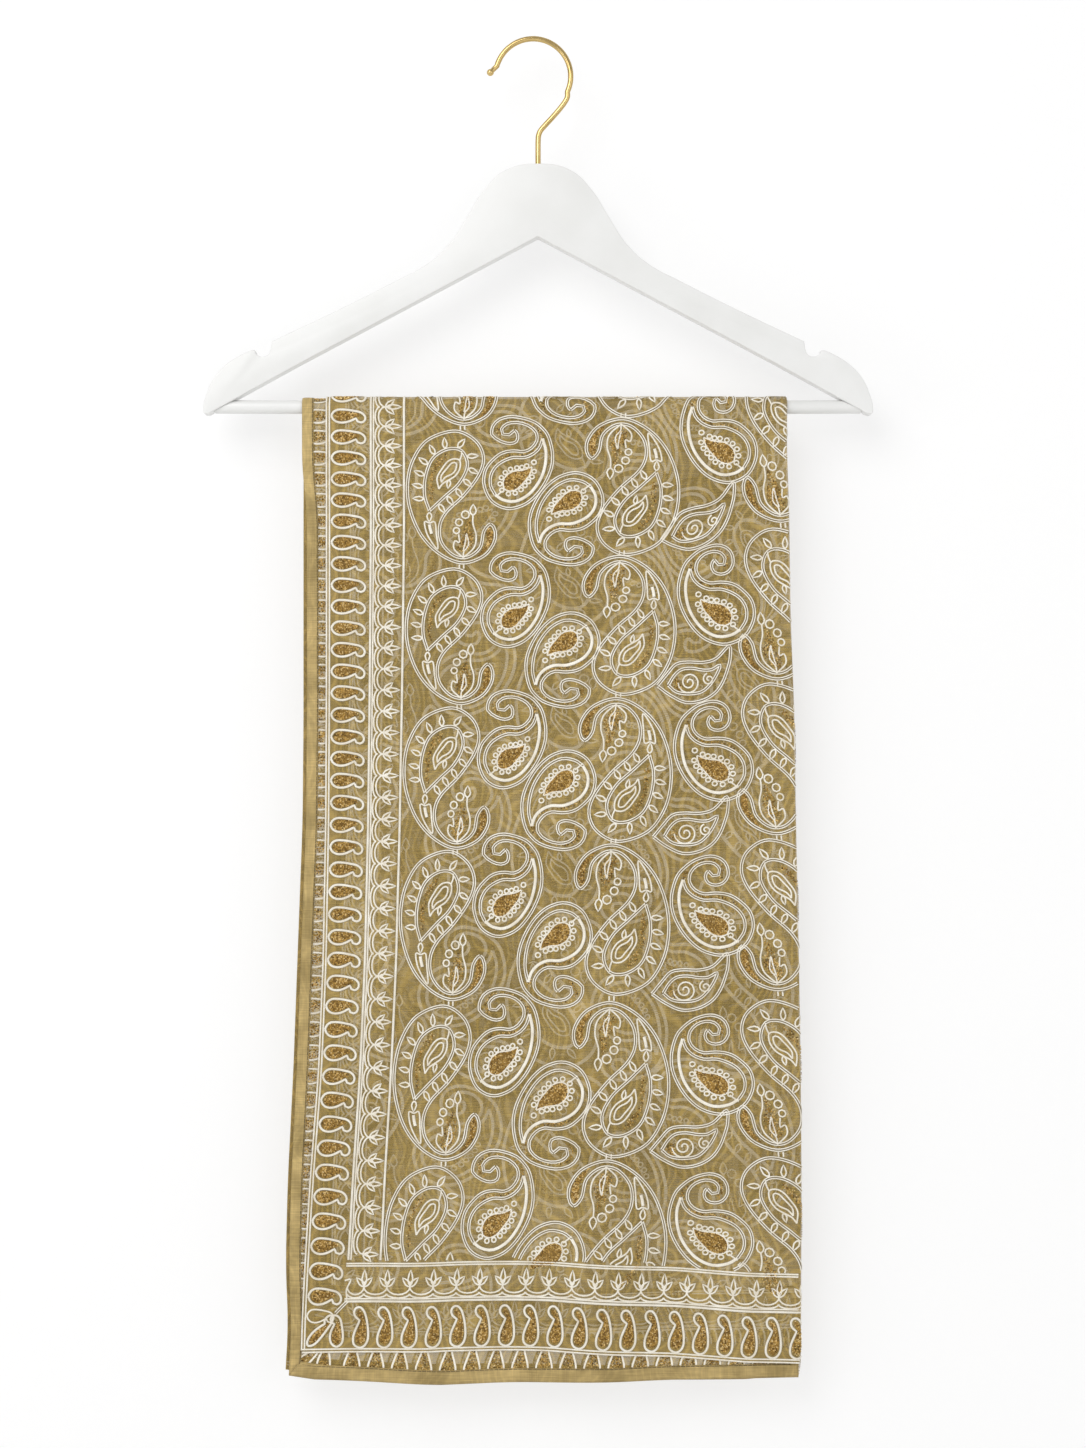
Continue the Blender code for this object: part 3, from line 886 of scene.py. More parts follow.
def add_seams(name, material):
    """Dashes of dark thread, partly painted shade, along the under ply's hems' inner edges, laid on the hung
    cloth.
    """
    front, back = (run_of(side, drop_length(f"{side}_under", 0.0) - SEAM_INSET) for side in ("front", "back"))
    dashes = [hang(edge("under", drop_of(run)) + SIDE_SEAM_INSET, run, UNDER, -SEAM_LIFT)
              for run in (np.linspace(start, start + SEAM_STITCH, 3)
                          for start in np.arange(back, front, SEAM_PITCH))]
    for side in ("front", "back"):
        for start in np.arange(SEAM_INSET, SEAM_END, SEAM_PITCH):
            share = np.linspace(start, start + SEAM_STITCH, 3) / HEM_SPAN
            drop = drop_length(f"{side}_under", share) - SEAM_INSET
            across = edge("under", drop) + share * (fold_start(drop) - edge("under", drop))
            dashes.append(hang(across, run_of(side, drop), UNDER, -SEAM_LIFT))
    drawn = new_curve(name, bevel_depth=SEAM_RADIUS, bevel_resolution=1, use_fill_caps=True)
    for dash in dashes:
        add_line(drawn, dash)
    return dress(name, evaluated_mesh(add_object(name, drawn)), material, "khaki_hem")


hems = [
    add_hem(side_hem("under", UNDER), "front_hem_side", "bar_hem_side", "back_hem_side"),
    add_hem(end_hem("front", "under", UNDER), "front_hem_bottom"),
    add_hem(end_hem("back", "under", UNDER), "back_hem_bottom"),
    add_hem(side_hem("upper", UPPER)),
    add_hem(end_hem("front", "upper", UPPER)),
    add_hem(end_hem("back", "upper", UPPER)),
]
# Partly painted shade: the thread is far darker than the hem, so it also paints the hem's shadow line.
thread_and_hem_shade, tree, shader = start_material("thread_and_hem_shade", Roughness=0.6)
tone = mottled(tree, 300.0, (0.17, 0.12, 0.045), (0.07, 0.05, 0.018))
fill_inputs(shader, {"Base Color": tone["Color"]})
hems.append(add_seams("hem_stitches_and_shade", thread_and_hem_shade))

# %% [markdown]
# ## An embroiderer's drawing
# The embroidery is laid cord: two strands side by side for the main outlines, one strand for the small
# figures, and gold thread grains that fill the heads. Its figures are the ordinary ones of such work: curled
# mangoes in two sizes, a leaf, trefoils over scallops, and a border of small mangoes. Each is charted on a
# millimetre grid, with the small parts, such as buds and rings, set by rule along a line. A figure is a list
# of strokes, each with its kind, and is drawn with x to the right and y down.

# %% Drawing helpers
CORD_STEP = 2.4              # millimetres between the points of a main outline
THREAD_STEP = 1.25           # of a small one
BORDER_STEP = 1.7            # of a border mango's
FILL_STEP = 3.0              # and of an area that gold thread fills
BORDER_FILL_STEP = 2.5
NEARBY = 0.8                 # millimetres each way, over which a line's direction is taken
BUD = np.array(((0, 0), (0.36, 0.18), (0.5, 0.42), (0.3, 0.74), (0, 1), (-0.3, 0.74), (-0.5, 0.42),
                (-0.36, 0.18), (0, 0)))
RING_SIDES = 8
SPIRAL_STEPS = 14            # points in one turn
SPIRAL_EYE = 0.12            # where a spiral starts, as a share of its radius
SCALLOP_STEPS = 9


def closed_line(points, step):
    line = soft_line(points, step, closed=True)
    return np.concatenate((line, line[:1]))


def thread(*points):
    return "thread", soft_line(points, THREAD_STEP)


def straight(kind, *points):
    return kind, np.array(points, float)


def filled(kind, *points):
    """A closed area, filled with gold or sparsely with specks."""
    return kind, soft_line(points, FILL_STEP, closed=True)


def bud(base, tip, width=0.5):
    """A small pointed leaf from base to tip; width is a share of its length."""
    base, tip = np.asarray(base, float), np.asarray(tip, float)
    ahead = tip - base
    beside = np.array((-ahead[1], ahead[0])) * width
    return "thread", base + BUD[:, 1:] * ahead + BUD[:, :1] * beside


def round_about(centre, radius, angle):
    return "thread", np.asarray(centre, float) + radius * np.concatenate((np.cos(angle), np.sin(angle)), 1)


def ring(centre, radius):
    return round_about(centre, radius, np.linspace(0, 2 * math.pi, RING_SIDES + 1)[:, None])


def spiral(centre, radius, turns, start):
    t = np.linspace(SPIRAL_EYE, 1.0, int(turns * SPIRAL_STEPS))[:, None]
    return round_about(centre, radius * t, start + t * turns * 2 * math.pi)


def beside_line(line, shares, distance):
    """Points at shares of a line's length, and a distance to its left."""
    steps = np.linalg.norm(np.diff(line, axis=0), axis=1)
    reached = np.concatenate(((0.0,), np.cumsum(steps)))
    wanted = np.asarray(shares) * reached[-1]

    def point_at(length):
        return np.column_stack([np.interp(length, reached, line[:, axis]) for axis in (0, 1)])

    way = point_at(wanted + NEARBY) - point_at(wanted - NEARBY)
    way /= np.linalg.norm(way, axis=1, keepdims=True)
    return point_at(wanted) + distance * np.stack((way[:, 1], -way[:, 0]), axis=-1)


# %% The large mango, 58 by 91 mm
LARGE = (58.0, 91.0)
HEART_BUDS = np.linspace(0.08, 0.93, 13)     # shares of the length of the heart's line
BUD_LEAN = 0.012             # their tips stand this much further along it
BUD_FOOT = 1.0               # millimetres from the line to a bud's foot
BUD_REACH = 8.1              # and to its tip
BUD_WIDTH = 0.42             # of a bud's length
large_outline = ((54, 64), (57, 69), (56, 77), (49, 86), (35, 90.5), (20, 84), (8, 71), (1, 53), (0, 36),
                 (4, 20), (14, 6.5), (32, 0.5), (45, 7), (50, 18), (47, 30), (37, 44), (25, 56), (20.5, 66),
                 (22, 77), (30, 85.5), (39, 86.5), (47, 80), (49.5, 69))
large_heart = ((14, 55), (11, 44), (12, 31), (17, 19), (27, 12.8), (36, 14), (39.5, 24), (34, 36), (24, 45.5),
               (14, 55))
large_leaf = ((20.5, 40), (19.5, 32.5), (23, 26), (26.5, 21.5), (30.5, 19.5), (34.5, 20.5), (34.5, 26),
              (31.5, 31), (27, 34), (23, 36.5), (20.5, 40))
leaf_inside = ((22.2, 35.5), (22.3, 31), (26.5, 25.5), (29.5, 22.3), (32.3, 22.5), (31.8, 26.8), (29.3, 29.8),
               (25, 32), (22.2, 35.5))


def large_mango():
    heart = soft_line(large_heart, CORD_STEP)
    feet = beside_line(heart, HEART_BUDS, BUD_FOOT)
    tips = beside_line(heart, HEART_BUDS + BUD_LEAN, BUD_REACH)
    return [
        ("cord", closed_line(large_outline, CORD_STEP)),
        ("cord", heart),
        *(bud(foot, tip, BUD_WIDTH) for foot, tip in zip(feet, tips)),
        thread(*large_leaf),
        thread(*leaf_inside),
        thread((36, 14), (35.8, 17), (34.5, 20.5)),
        bud((27.5, 34), (26.5, 39.5), 0.45),
        bud((14, 56), (13.7, 62.4), 0.5),
        thread((14, 63.4), (10.6, 62.6), (12.5, 71.5), (19, 81), (18.4, 71), (17.4, 62.6), (14, 63.4)),
        straight("rope", (13.8, 64.2), (14.2, 67.0), (15.2, 70.6)),
        *(straight("thread", (x, 91.6), (x, 94.4)) for x in (33.4, 36.2)),
        thread((36, 87), (43, 80), (44.5, 72), (42.5, 64), (42.5, 57.5)),
        bud((42.5, 58), (42.8, 50.5), 0.55),
        ring((37.6, 57.5), 2.6),
        ring((33.4, 62.8), 2.4),
        ring((31.6, 68.4), 2.1),
        thread((33, 71), (33.5, 76.5), (30.5, 75.5), (30, 81), (36, 87)),
        thread((36, 86), (36.5, 82.5), (39.5, 78), (38.2, 70.5), (37.4, 76), (36, 82)),
        filled("gold", (51.6, 66.6), (53.6, 66), (55.4, 69.5), (54.4, 77), (50, 83), (45, 86.6),
               (48.4, 81.5), (51.2, 76)),
        filled("specks", (35.5, 85), (32, 80), (34.5, 74), (36, 67), (41, 59), (40.8, 66), (43, 73),
               (41.5, 79)),
        filled("specks", (16, 50), (13.5, 43), (15, 31), (20, 20), (26.5, 16), (24, 22), (18, 29), (17, 40)),
    ]


# %% The small curled mango, 44 by 64 mm
SMALL = (44.0, 64.0)
small_outline = ((24, 10), (25.5, 13.5), (24, 17.5), (20, 19), (16, 17.5), (13.5, 13), (14, 7), (17, 2.5),
                 (23, 0.5), (31, 3), (37, 8), (41, 14), (43.5, 25), (43, 35), (39.5, 45), (34, 54),
                 (27, 60.5), (18, 63.5), (10, 61.5), (4, 56), (0.5, 46), (2, 36), (8, 28.5), (13.5, 25),
                 (20, 24), (26, 24.5), (31, 22), (34, 17), (33.5, 11), (30, 6.5), (25, 4.5), (20.5, 5.5),
                 (18, 9), (18.5, 12.5), (21.5, 13))
small_right = ((37.5, 15.5), (39.5, 24), (39, 34), (36, 44), (29.5, 53.5), (21, 58.5), (13, 57.5), (8, 54))
small_left = ((8, 54), (5, 48), (5, 41), (8, 35), (13, 31), (19.5, 28.5), (26.5, 28.5), (32.5, 25.5),
              (36, 21), (37.5, 15.5))
small_drop = ((31, 35), (25.5, 37.2), (19.5, 38), (15, 41), (13, 45.5), (14, 50), (17.5, 51.5), (22, 50),
              (26, 45.5), (29.5, 40.5), (31, 35))
CURL_TOP = 14.0              # the curl may reach further out: fully above this height on the chart
CURL_FOOT = 24.0             # and not at all below this one
CURL_SIDE = 34.0
CURL_REACH = 1.38
DROP_RINGS = np.linspace(0.05, 0.95, 15)     # shares of the length of the gold drop's line
RING_OUT = 2.0               # millimetres from that line
RING_RADIUS = 1.4


def small_mango(reach, right, left):
    """reach stretches the curl sideways; right and left are the kinds of cord on the heart's two sides."""
    drop = soft_line(small_drop, THREAD_STEP)
    strokes = [
        ("cord", closed_line(small_outline, CORD_STEP)),
        (right, soft_line(small_right, CORD_STEP)),
        (left, soft_line(small_left, CORD_STEP)),
        ("thread", drop),
        ("gold", soft_line(small_drop, FILL_STEP)),
        *(ring(centre, RING_RADIUS) for centre in beside_line(drop, DROP_RINGS, -RING_OUT)),
        ring((32.2, 31.8), 1.5),
        straight("thread", (12.6, 51.4), (8.0, 55.5)),
        filled("specks", (16.5, 14.5), (15.5, 9), (18, 4.5), (23, 2.5), (30, 4.5), (36, 10), (38.5, 14),
               (35.5, 19), (35.8, 12), (32, 6.5), (25, 3.2), (19.5, 4.5), (16.8, 9), (18.5, 14), (18.5, 17)),
        filled("specks", (9, 31), (16, 26.2), (24, 26.2), (32, 23.5), (35, 20), (31, 26), (24, 27.5),
               (16, 28), (10, 32)),
    ]
    stretched = []
    for kind, points in strokes:
        x, y = np.asarray(points, float).T
        share = np.clip((CURL_FOOT - y) / (CURL_FOOT - CURL_TOP), 0.0, 1.0)
        moved = x + (reach - 1.0) * share * np.minimum(x - CURL_SIDE, 0.0)
        stretched.append((kind, np.stack((moved, y), axis=-1)))
    return stretched


# %% The curled leaf, 51 by 38 mm, and the border figures
LEAF = (51.0, 38.5)
STEEPER = 12.0               # how much higher the first row's leaf holds its tip
leaf_outline = ((0.5, 27), (7, 19), (13, 12.5), (21, 11), (32, 11.2), (41, 8.5), (49.8, 0), (50.5, 8),
                (49, 15), (45.5, 24.5), (40, 32), (31, 37), (20, 38), (9, 33), (0.5, 27))
leaf_heart = ((8, 26.5), (12, 20), (17, 16), (24, 15.2), (32, 16.4), (38, 16), (43.5, 13), (41.5, 19),
              (37, 26), (31, 31), (22, 32.4), (13.5, 31), (8, 26.5))
border_outline = ((0, 0), (1.4, -3.1), (4.1, -4.8), (7.6, -5), (11.7, -4.6), (15.7, -3.8), (18.8, -3.1),
                  (21.3, -1.5), (22.7, 1), (22.1, 3.8), (19.8, 5), (17.5, 4.2), (16.9, 2.8), (16.3, 1.9),
                  (13.7, 3.3), (10.2, 4.7), (6.6, 5.1), (3.3, 4.3), (1, 2.3))
border_fill = ((1.8, -0.6), (3.8, -3.5), (7.6, -3.9), (11.7, -3.4), (15.7, -2.6), (18.4, -1.6), (18.6, 0.2),
               (15.6, 0.9), (12.6, 2.4), (9.2, 3.5), (6.2, 3.9), (3.6, 3.1), (2, 1.4))
end_outline = ((0, 0), (1.5, -3.3), (4.8, -5.3), (9.4, -5.7), (14.5, -5.1), (19, -4.1), (23.6, -2.3),
               (26.4, 0.5), (26.1, 3.6), (23.6, 5.1), (20.8, 4.3), (19, 2.3), (18, 0.9), (15.7, 1.8),
               (11.9, 3.6), (7.9, 5), (3.8, 5.1), (1.3, 3.6))
end_fill = ((2, 0), (3.8, -3), (7.9, -4.3), (13.5, -3.9), (18.5, -2.8), (22.1, -1.2), (24.6, 1.1),
            (24.2, 2.9), (22, 2.6), (19.8, 1), (18, -0.3), (15.5, 0.4), (11.9, 2), (7.9, 3.4), (4.4, 3.2))
under_outline = ((0, 0), (1.6, -3.8), (5.6, -5.2), (10.5, -3.9), (15.5, -2.2), (21, -2), (25, -0.4),
                 (25.5, 2.4), (22.5, 3), (19.5, 1.6), (15.5, 1.9), (10.5, 3.8), (5.6, 5.2), (1.6, 3.8))
under_fill = ((1.2, 0), (2.4, -3), (5.6, -4.2), (10.5, -3), (16, -1.2), (21, -0.8), (21, 0.6), (16, 0.9),
              (10.5, 2.9), (5.6, 4.2), (2.4, 3))


def curled_leaf(steeper=0.0):
    """A leaf with two spirals; steeper draws its tip up by that much."""
    strokes = [("cord", soft_line(leaf_outline, CORD_STEP)), ("cord", soft_line(leaf_heart, CORD_STEP)),
               spiral((22.4, 24.6), 7.8, 2.3, 1.2), spiral((36, 22.5), 4.2, 1.7, 0.0),
               filled("specks", (10, 27), (15, 21), (17, 30))]
    return [(kind, points + (0.0, steeper) - points[:, :1] * (0.0, steeper / LEAF[0]))
            for kind, points in strokes]


def border_mango(long, wide, outline=border_outline, fill=border_fill, kind="braid"):
    """A mango that lies on its side, its head at x = 0 and its tail hooked down, long by wide."""
    size = np.array((long, wide)) / np.ptp(outline, axis=0)
    return [(kind, closed_line(outline, BORDER_STEP) * size),
            ("gold", soft_line(fill, BORDER_FILL_STEP, True) * size)]


def trefoil():
    """Three buds on a cusp of the scallops, at x = 0, that point along x."""
    return [bud((0.2, 0.3), (6.2, -5.2), 0.38), bud((0.2, -0.3), (6.2, 5.2), 0.38),
            bud((0.8, 0), (11.4, 0), 0.3)]


def scallop(start, end, cusp, bulge):
    """An arc from cusp to cusp that swings out to bulge; start and end are along y."""
    turn = np.linspace(0, math.pi, SCALLOP_STEPS)
    along = (start + end) / 2 - (end - start) / 2 * np.cos(turn)
    return "thread", np.stack((cusp + (bulge - cusp) * np.sin(turn), along), axis=-1)


FIGURES = {
    "large": (large_mango(), LARGE),
    "leaf": (curled_leaf(), LEAF),
    "steep": (curled_leaf(STEEPER), LEAF),
    "small": (small_mango(CURL_REACH, "rope", "cord"), SMALL),
    "tight": (small_mango(1.0, "rope", "cord"), SMALL),
    "other": (small_mango(CURL_REACH, "cord", "rope"), SMALL),
}
print("strokes a figure:", {name: len(strokes) for name, (strokes, _) in FIGURES.items()})

# %% [markdown]
# ## Setting out the pattern
# The figures stand in columns across the field, each with its own row spacing, and the cloth widens a
# little towards the hem, so the pattern is set out on the cloth's own edges. The side border starts at the
# edge and ends where the field does, and the end borders keep their distance from the hems. The pattern runs
# on over the bar and down the back, and the under ply has its own, which shows through the net as paler
# ghosts.

# %% Setting out
FIELD_WIDTH = 262.3          # millimetres, where the field's figures were measured
SIDE_FIELD = 49.5            # the side border's width, up to its inner line
END_FIELD = 59.0             # the end border's height
EDGE_LINE = {"upper": -0.3, "under": 3.4}    # the borders' outer line; the under ply's lies below its hem
ROW = 93.3                   # from the last row of the front, mirrored to the back, to one row more
NEAR_HEM = 0.6               # metres down, where the end borders take the cloth's width
# How tall a figure stands as a share of its own height, by its middle's way down from the bar.
STRETCH = (("drop", "tall"), (0, 0.96), (110, 0.98), (200, 1.01), (300, 1.07), (400, 1.13), (520, 1.14))
# Figure, its left side across the field, its width and height, how far its top leans to the right, how much
# of STRETCH it takes, whether mirrored or turned half round, and the tops of its rows, all in millimetres.
COLUMNS = (
    ("large", 3.6, 57.6, 90.7, -2.0, 1.0, "", (16.3, 107.4, 199.4, 294.4, 396.8, 503.2)),
    ("small", 51.4, 44.1, 63.9, 0.0, 1.0, "", (6.7, 96.8, 188.1, 283.0, 385.4, 492.7)),
    ("other", 80.9, 47.0, 63.5, 0.0, 1.0, "turned", (43.8, 136.5, 227.9, 328.5, 434.0, 540.3)),
    ("large", 115.5, 62.0, 93.0, 0.0, 0.8, "turned", (8.1, 99.1, 193.3, 290.2, 394.5, 499.1)),
    ("tight", 178.8, 53.6, 66.7, 0.0, 0.0, "mirrored", (-15.4, 91.6, 195.0, 297.6, 403.0, 508.2)),
    ("leaf", 166.0, 50.3, 38.0, 0.0, 0.0, "", (50.2, 158.7, 258.7, 362.6, 466.6)),
    ("large", 223.5, 64.0, 100.3, -9.8, 0.0, "mirrored", (-23.4, 81.0, 183.5, 286.8, 393.2, 497.4)),
)
UNDER_SHIFT = 47.0           # the under ply's figures stand half a row lower
# How far the pattern stands to the right of its regular places, in millimetres: a row for each drop, with
# a value for each place across the field.
PUSH_DROP = (40, 80, 150, 240, 340, 440, 540)
PUSH_FAR = (0, 30, 73, 104, 146, 200, 235)
PUSH = (
    (1.5, 2.6, 4.8, 8.0, 10.0, 9.9, 8.4),
    (1.5, 2.3, 4.0, 6.8, 9.0, 8.8, 8.0),
    (0.8, 1.0, 2.4, 3.6, 6.6, 5.2, 4.6),
    (-0.4, -0.5, -1.1, 0.6, 2.2, 1.2, 1.3),
    (-1.3, -3.1, -3.3, -1.9, -1.3, -0.8, 0.4),
    (-1.7, -2.8, -3.7, -1.7, -0.2, -1.3, -0.7),
    (0.0, -1.8, -2.4, -1.5, -0.3, -0.8, -0.6),
)
BORDER_PITCH = (("drop", "pitch"), (0, 13.8), (300, 14.8), (500, 16.1), (620, 17.2))
TREFOIL_PITCH = (("drop", "pitch"), (0, 12.8), (300, 14.8), (500, 15.5), (620, 15.7))
BAR_WRAP_MM = BAR_WRAP / MM
UNDER_PHASE = 3.0            # its end borders stand this much further to the right
FILL_KEPT = 0.25             # a filled area stays if more than this share of its outline is inside
LINE_STEP = 3.0              # millimetres between the points of a border's long lines
OUTER_GAP = 1.9              # between its two outer lines

# The side border, in millimetres from the long edge: the mangoes' length and place, the trefoils' size and
# place, the scallops' cusps and bulges, and the inner lines.
SIDE_MANGO = (21.8, 2.9)
SIDE_MANGO_WIDE = 0.63       # of the pitch
SIDE_TREFOIL = (0.93, 37.5)
SIDE_SCALLOPS = ((37.6, 33.1), (33.9, 31.0))
SIDE_LINES = (("braid", 28.2), ("thread", 29.9), ("braid", SIDE_FIELD))
MANGO_STARTS = (6.8, -7.0)   # the first ones of the front and of the back
TREFOIL_STARTS = (0.8, -12.0)
CORNER_ROOM = 34.0           # the mangoes stop this far from the hem
CUT_MANGO = ((0.78, 0.86), (2.6, 23.8))      # the last one, cut off: its size, place and height over the hem

# The end border, in millimetres over the hem: a mango's length, width and height, on each ply.
END_MANGO = {"upper": (26.8, 9.9, 2.3), "under": (30.0, 10.6, 3.0)}
END_CHARTS = {"upper": (end_outline, end_fill), "under": (under_outline, under_fill)}
END_MANGO_START = 38.4       # from the long edge
END_MANGO_PITCH = 16.1
END_TREFOIL_START = 39.5
END_TREFOIL_PITCH = 15.3
END_SCALLOP_START = 28.5
END_TREFOIL_HEIGHT = 42.6
END_SCALLOPS = ((42.6, 37.6), (38.2, 35.4))
END_LINES = (("braid", 33.1), ("thread", 34.8), ("thread", 56.6), ("thread", 58.2))
END_LINES_START = 26.0
# The corner's own mangoes, upright and slanted: length, width and place.
UPRIGHT_MANGO = (21.0, 8.6, (22.6, 3.0))
SLANTED_MANGO = (25.0, 6.4, (3.6, 4.2))
SLANT = np.array(((0.66, -0.75), (0.75, 0.66)))


def push(far, drop):
    """PUSH read both ways, for places far across the field, in millimetres, and down the drop, in metres."""
    across = np.array([np.interp(far, PUSH_FAR, row) for row in PUSH])
    down = np.interp(drop / MM, PUSH_DROP, np.arange(len(PUSH)))
    row = np.minimum(down.astype(int), len(PUSH) - 2)
    place = np.arange(len(down))
    return across[row, place] + (down - row) * (across[row + 1, place] - across[row, place])


def field_line(ply_name, drop):
    """Where the side border ends and the field starts."""
    return edge(ply_name, drop) + (SIDE_FIELD + push(np.zeros(len(drop)), drop)) * MM


def fold_middle(drop):
    ring_x = fold_start(drop)
    return ring_x + half_spacing(ring_x, drop) * math.pi / 2


def ends_of(ply_name, across):
    """run at the front hem and at the back hem, in metres, for places across a ply."""
    left, right = edge(ply_name, NEAR_HEM), fold_start(NEAR_HEM)
    share = np.clip((across - left) / (right - left), 0.0, 1.0)
    return [run_of(side, drop_length(f"{side}_{ply_name}", share)) for side in ("front", "back")]


def from_edge(ply_name, across, run):
    """Points of the flat cloth from millimetres beside a ply's long edge and metres of run."""
    return np.stack((edge(ply_name, drop_of(run)) + across * MM, run), axis=-1)


def cut_at_fold(across, run):
    return across < fold_middle(drop_of(run))


def keep_where(strokes, inside):
    """Cut strokes where they leave an area; inside tells it for points of the flat cloth."""
    kept = []
    for kind, points in strokes:
        good = inside(points[:, 0], points[:, 1])
        if kind in ("gold", "specks"):
            if good.mean() > FILL_KEPT:
                kept.append((kind, points))
            continue
        changes = np.flatnonzero(np.diff(good.astype(int))) + 1
        for part, first in zip(np.split(points, changes), np.split(good, changes)):
            if first[0] and len(part) > 1:
                kept.append((kind, part))
    return kept


def field_strokes(ply_name, ply):
    strokes = []
    tall_at, tall = column(STRETCH, "drop"), column(STRETCH, "tall")
    for which, left, wide, high, lean, grow, way, tops in COLUMNS:
        mirrored = (way == "mirrored") != (ply == UNDER)
        if ply == UNDER:
            left = FIELD_WIDTH - left - wide
        shift = UNDER_SHIFT if ply == UNDER else 0.0
        backs = [2 * tops[0] - top for top in tops[1:] + (tops[-1] + ROW,)]
        for top in np.array(list(tops) + backs) + shift:
            scale = 1.0 + grow * (np.interp(abs(top + high / 2), tall_at, tall) - 1.0)
            first_leaf = which == "leaf" and top == tops[0] + shift
            figure, (box_wide, box_high) = FIGURES["steep" if first_leaf else which]
            for kind, points in figure:
                x, y = points[:, 0] / box_wide, points[:, 1] / box_high
                if mirrored:
                    x = 1.0 - x
                if way == "turned":
                    x, y = 1.0 - x, 1.0 - y
                run = (top + y * high * scale) * MM
                drop = drop_of(run)
                line = edge(ply_name, drop) + SIDE_FIELD * MM
                widening = (edge("fold", drop) - line) / FIELD_WIDTH
                far = left + x * wide + lean * (1.0 - y)
                far = far + push(far, drop)
                strokes.append((kind, np.stack((line + far * widening, run), axis=-1)))

    def inside(across, run):
        front, back = ends_of(ply_name, across)
        return ((run < front - END_FIELD * MM) & (run > back + END_FIELD * MM) & cut_at_fold(across, run)
                & (across > field_line(ply_name, drop_of(run))))

    return keep_where(strokes, inside)


def spaced(start, stop, table, step):
    """Places from start towards stop, in millimetres of run, spaced by a table of pitches down the drop."""
    places = []
    place = start
    while (stop - place) * step > 0:
        places.append(place)
        drop = place if place > 0 else max(-place - BAR_WRAP_MM, 0.0)
        place += step * np.interp(drop, column(table, "drop"), column(table, "pitch"))
    return places


def border_line(kind, height, places):
    return kind, np.stack((np.full(len(places), height), places), axis=-1)


def side_strokes(ply_name):
    """The long side border: distance from the edge along x, run along y, both in millimetres."""
    front, back = (float(end) / MM for end in ends_of(ply_name, edge(ply_name, NEAR_HEM)))
    strokes = []
    mangoes = (spaced(MANGO_STARTS[0], front - CORNER_ROOM, BORDER_PITCH, 1)
               + spaced(MANGO_STARTS[1], back + CORNER_ROOM, BORDER_PITCH, -1))
    for place in mangoes:
        pitch = np.interp(abs(place), column(BORDER_PITCH, "drop"), column(BORDER_PITCH, "pitch"))
        outline_kind = "braid" if ply_name == "upper" else "faint"
        mango = border_mango(SIDE_MANGO[0], SIDE_MANGO_WIDE * pitch, kind=outline_kind)
        strokes += [(kind, points + (SIDE_MANGO[1], place)) for kind, points in mango]
    trefoils = sorted(spaced(TREFOIL_STARTS[0], front - END_FIELD, TREFOIL_PITCH, 1)
                      + spaced(TREFOIL_STARTS[1], back + END_FIELD, TREFOIL_PITCH, -1))
    for place in trefoils:
        strokes += [(kind, points * SIDE_TREFOIL[0] + (SIDE_TREFOIL[1], place)) for kind, points in trefoil()]
    for start, end in zip(trefoils, trefoils[1:]):
        strokes += [scallop(start, end, cusp, bulge) for cusp, bulge in SIDE_SCALLOPS]
    down = np.arange(back, front, LINE_STEP)
    inner = down[(down > back + END_FIELD) & (down < front - END_FIELD)]
    strokes += [border_line("thread", EDGE_LINE[ply_name] + gap, down) for gap in (0.0, OUTER_GAP)]
    strokes += [border_line(kind, distance, inner) for kind, distance in SIDE_LINES]
    size, (beside, height) = CUT_MANGO
    strokes.append(("thread", closed_line(border_outline, BORDER_STEP) * size + (beside, front - height)))
    placed = []
    for kind, points in strokes:
        run = points[:, 1] * MM
        border = (field_line(ply_name, drop_of(run)) - edge(ply_name, drop_of(run))) / MM
        placed.append((kind, from_edge(ply_name, points[:, 0] * border / SIDE_FIELD, run)))
    return placed


def turned_up(points):
    """Turn a border figure that lies along x so that it stands up from the hem, with its hook to the left."""
    return np.stack((-points[:, 1], points[:, 0]), axis=-1)


def end_strokes(side, ply_name, phase):
    """An end border with its mitred corner: distance from the long edge and height over the hem."""
    length = (fold_middle(NEAR_HEM) - edge(ply_name, NEAR_HEM)) / MM
    long, wide, height = END_MANGO[ply_name]
    mango = border_mango(long, wide, *END_CHARTS[ply_name])
    strokes = []
    for place in np.arange(END_MANGO_START + phase, length, END_MANGO_PITCH):
        strokes += [(kind, turned_up(points) + (place, height)) for kind, points in mango]
    long, wide, place = UPRIGHT_MANGO
    strokes += [(kind, turned_up(points) + place) for kind, points in border_mango(long, wide)]
    long, wide, place = SLANTED_MANGO
    strokes += [(kind, points @ SLANT.T + place) for kind, points in border_mango(long, wide)]
    trefoils = np.arange(END_TREFOIL_START + phase, length + END_TREFOIL_PITCH, END_TREFOIL_PITCH)
    for place in trefoils:
        strokes += [(kind, turned_up(points) + (place, END_TREFOIL_HEIGHT)) for kind, points in trefoil()]
    across = np.arange(0.0, length, LINE_STEP)
    lying = [scallop(start, end, cusp, bulge)
             for start, end in zip(np.concatenate(((END_SCALLOP_START,), trefoils)), trefoils)
             for cusp, bulge in END_SCALLOPS]
    lying += [border_line("thread", EDGE_LINE[ply_name] + gap, across) for gap in (0.0, OUTER_GAP)]
    lying += [border_line(kind, above, across[across > END_LINES_START]) for kind, above in END_LINES]
    strokes += [(kind, points[:, ::-1]) for kind, points in lying]
    strokes.append(straight("cord", (21.5, 25.5), (25.5, 29.8), (29.3, 33.6)))
    strokes.append(thread((28.5, 35.0), (28.0, 41.0), (30.5, 47.5), (26.5, 47.0)))
    placed = []
    for kind, points in strokes:
        hem = ends_of(ply_name, edge(ply_name, NEAR_HEM) + points[:, 0] * MM)
        run = hem[0] - points[:, 1] * MM if side == "front" else hem[1] + points[:, 1] * MM
        placed.append((kind, from_edge(ply_name, points[:, 0], run)))
    return keep_where(placed, cut_at_fold)


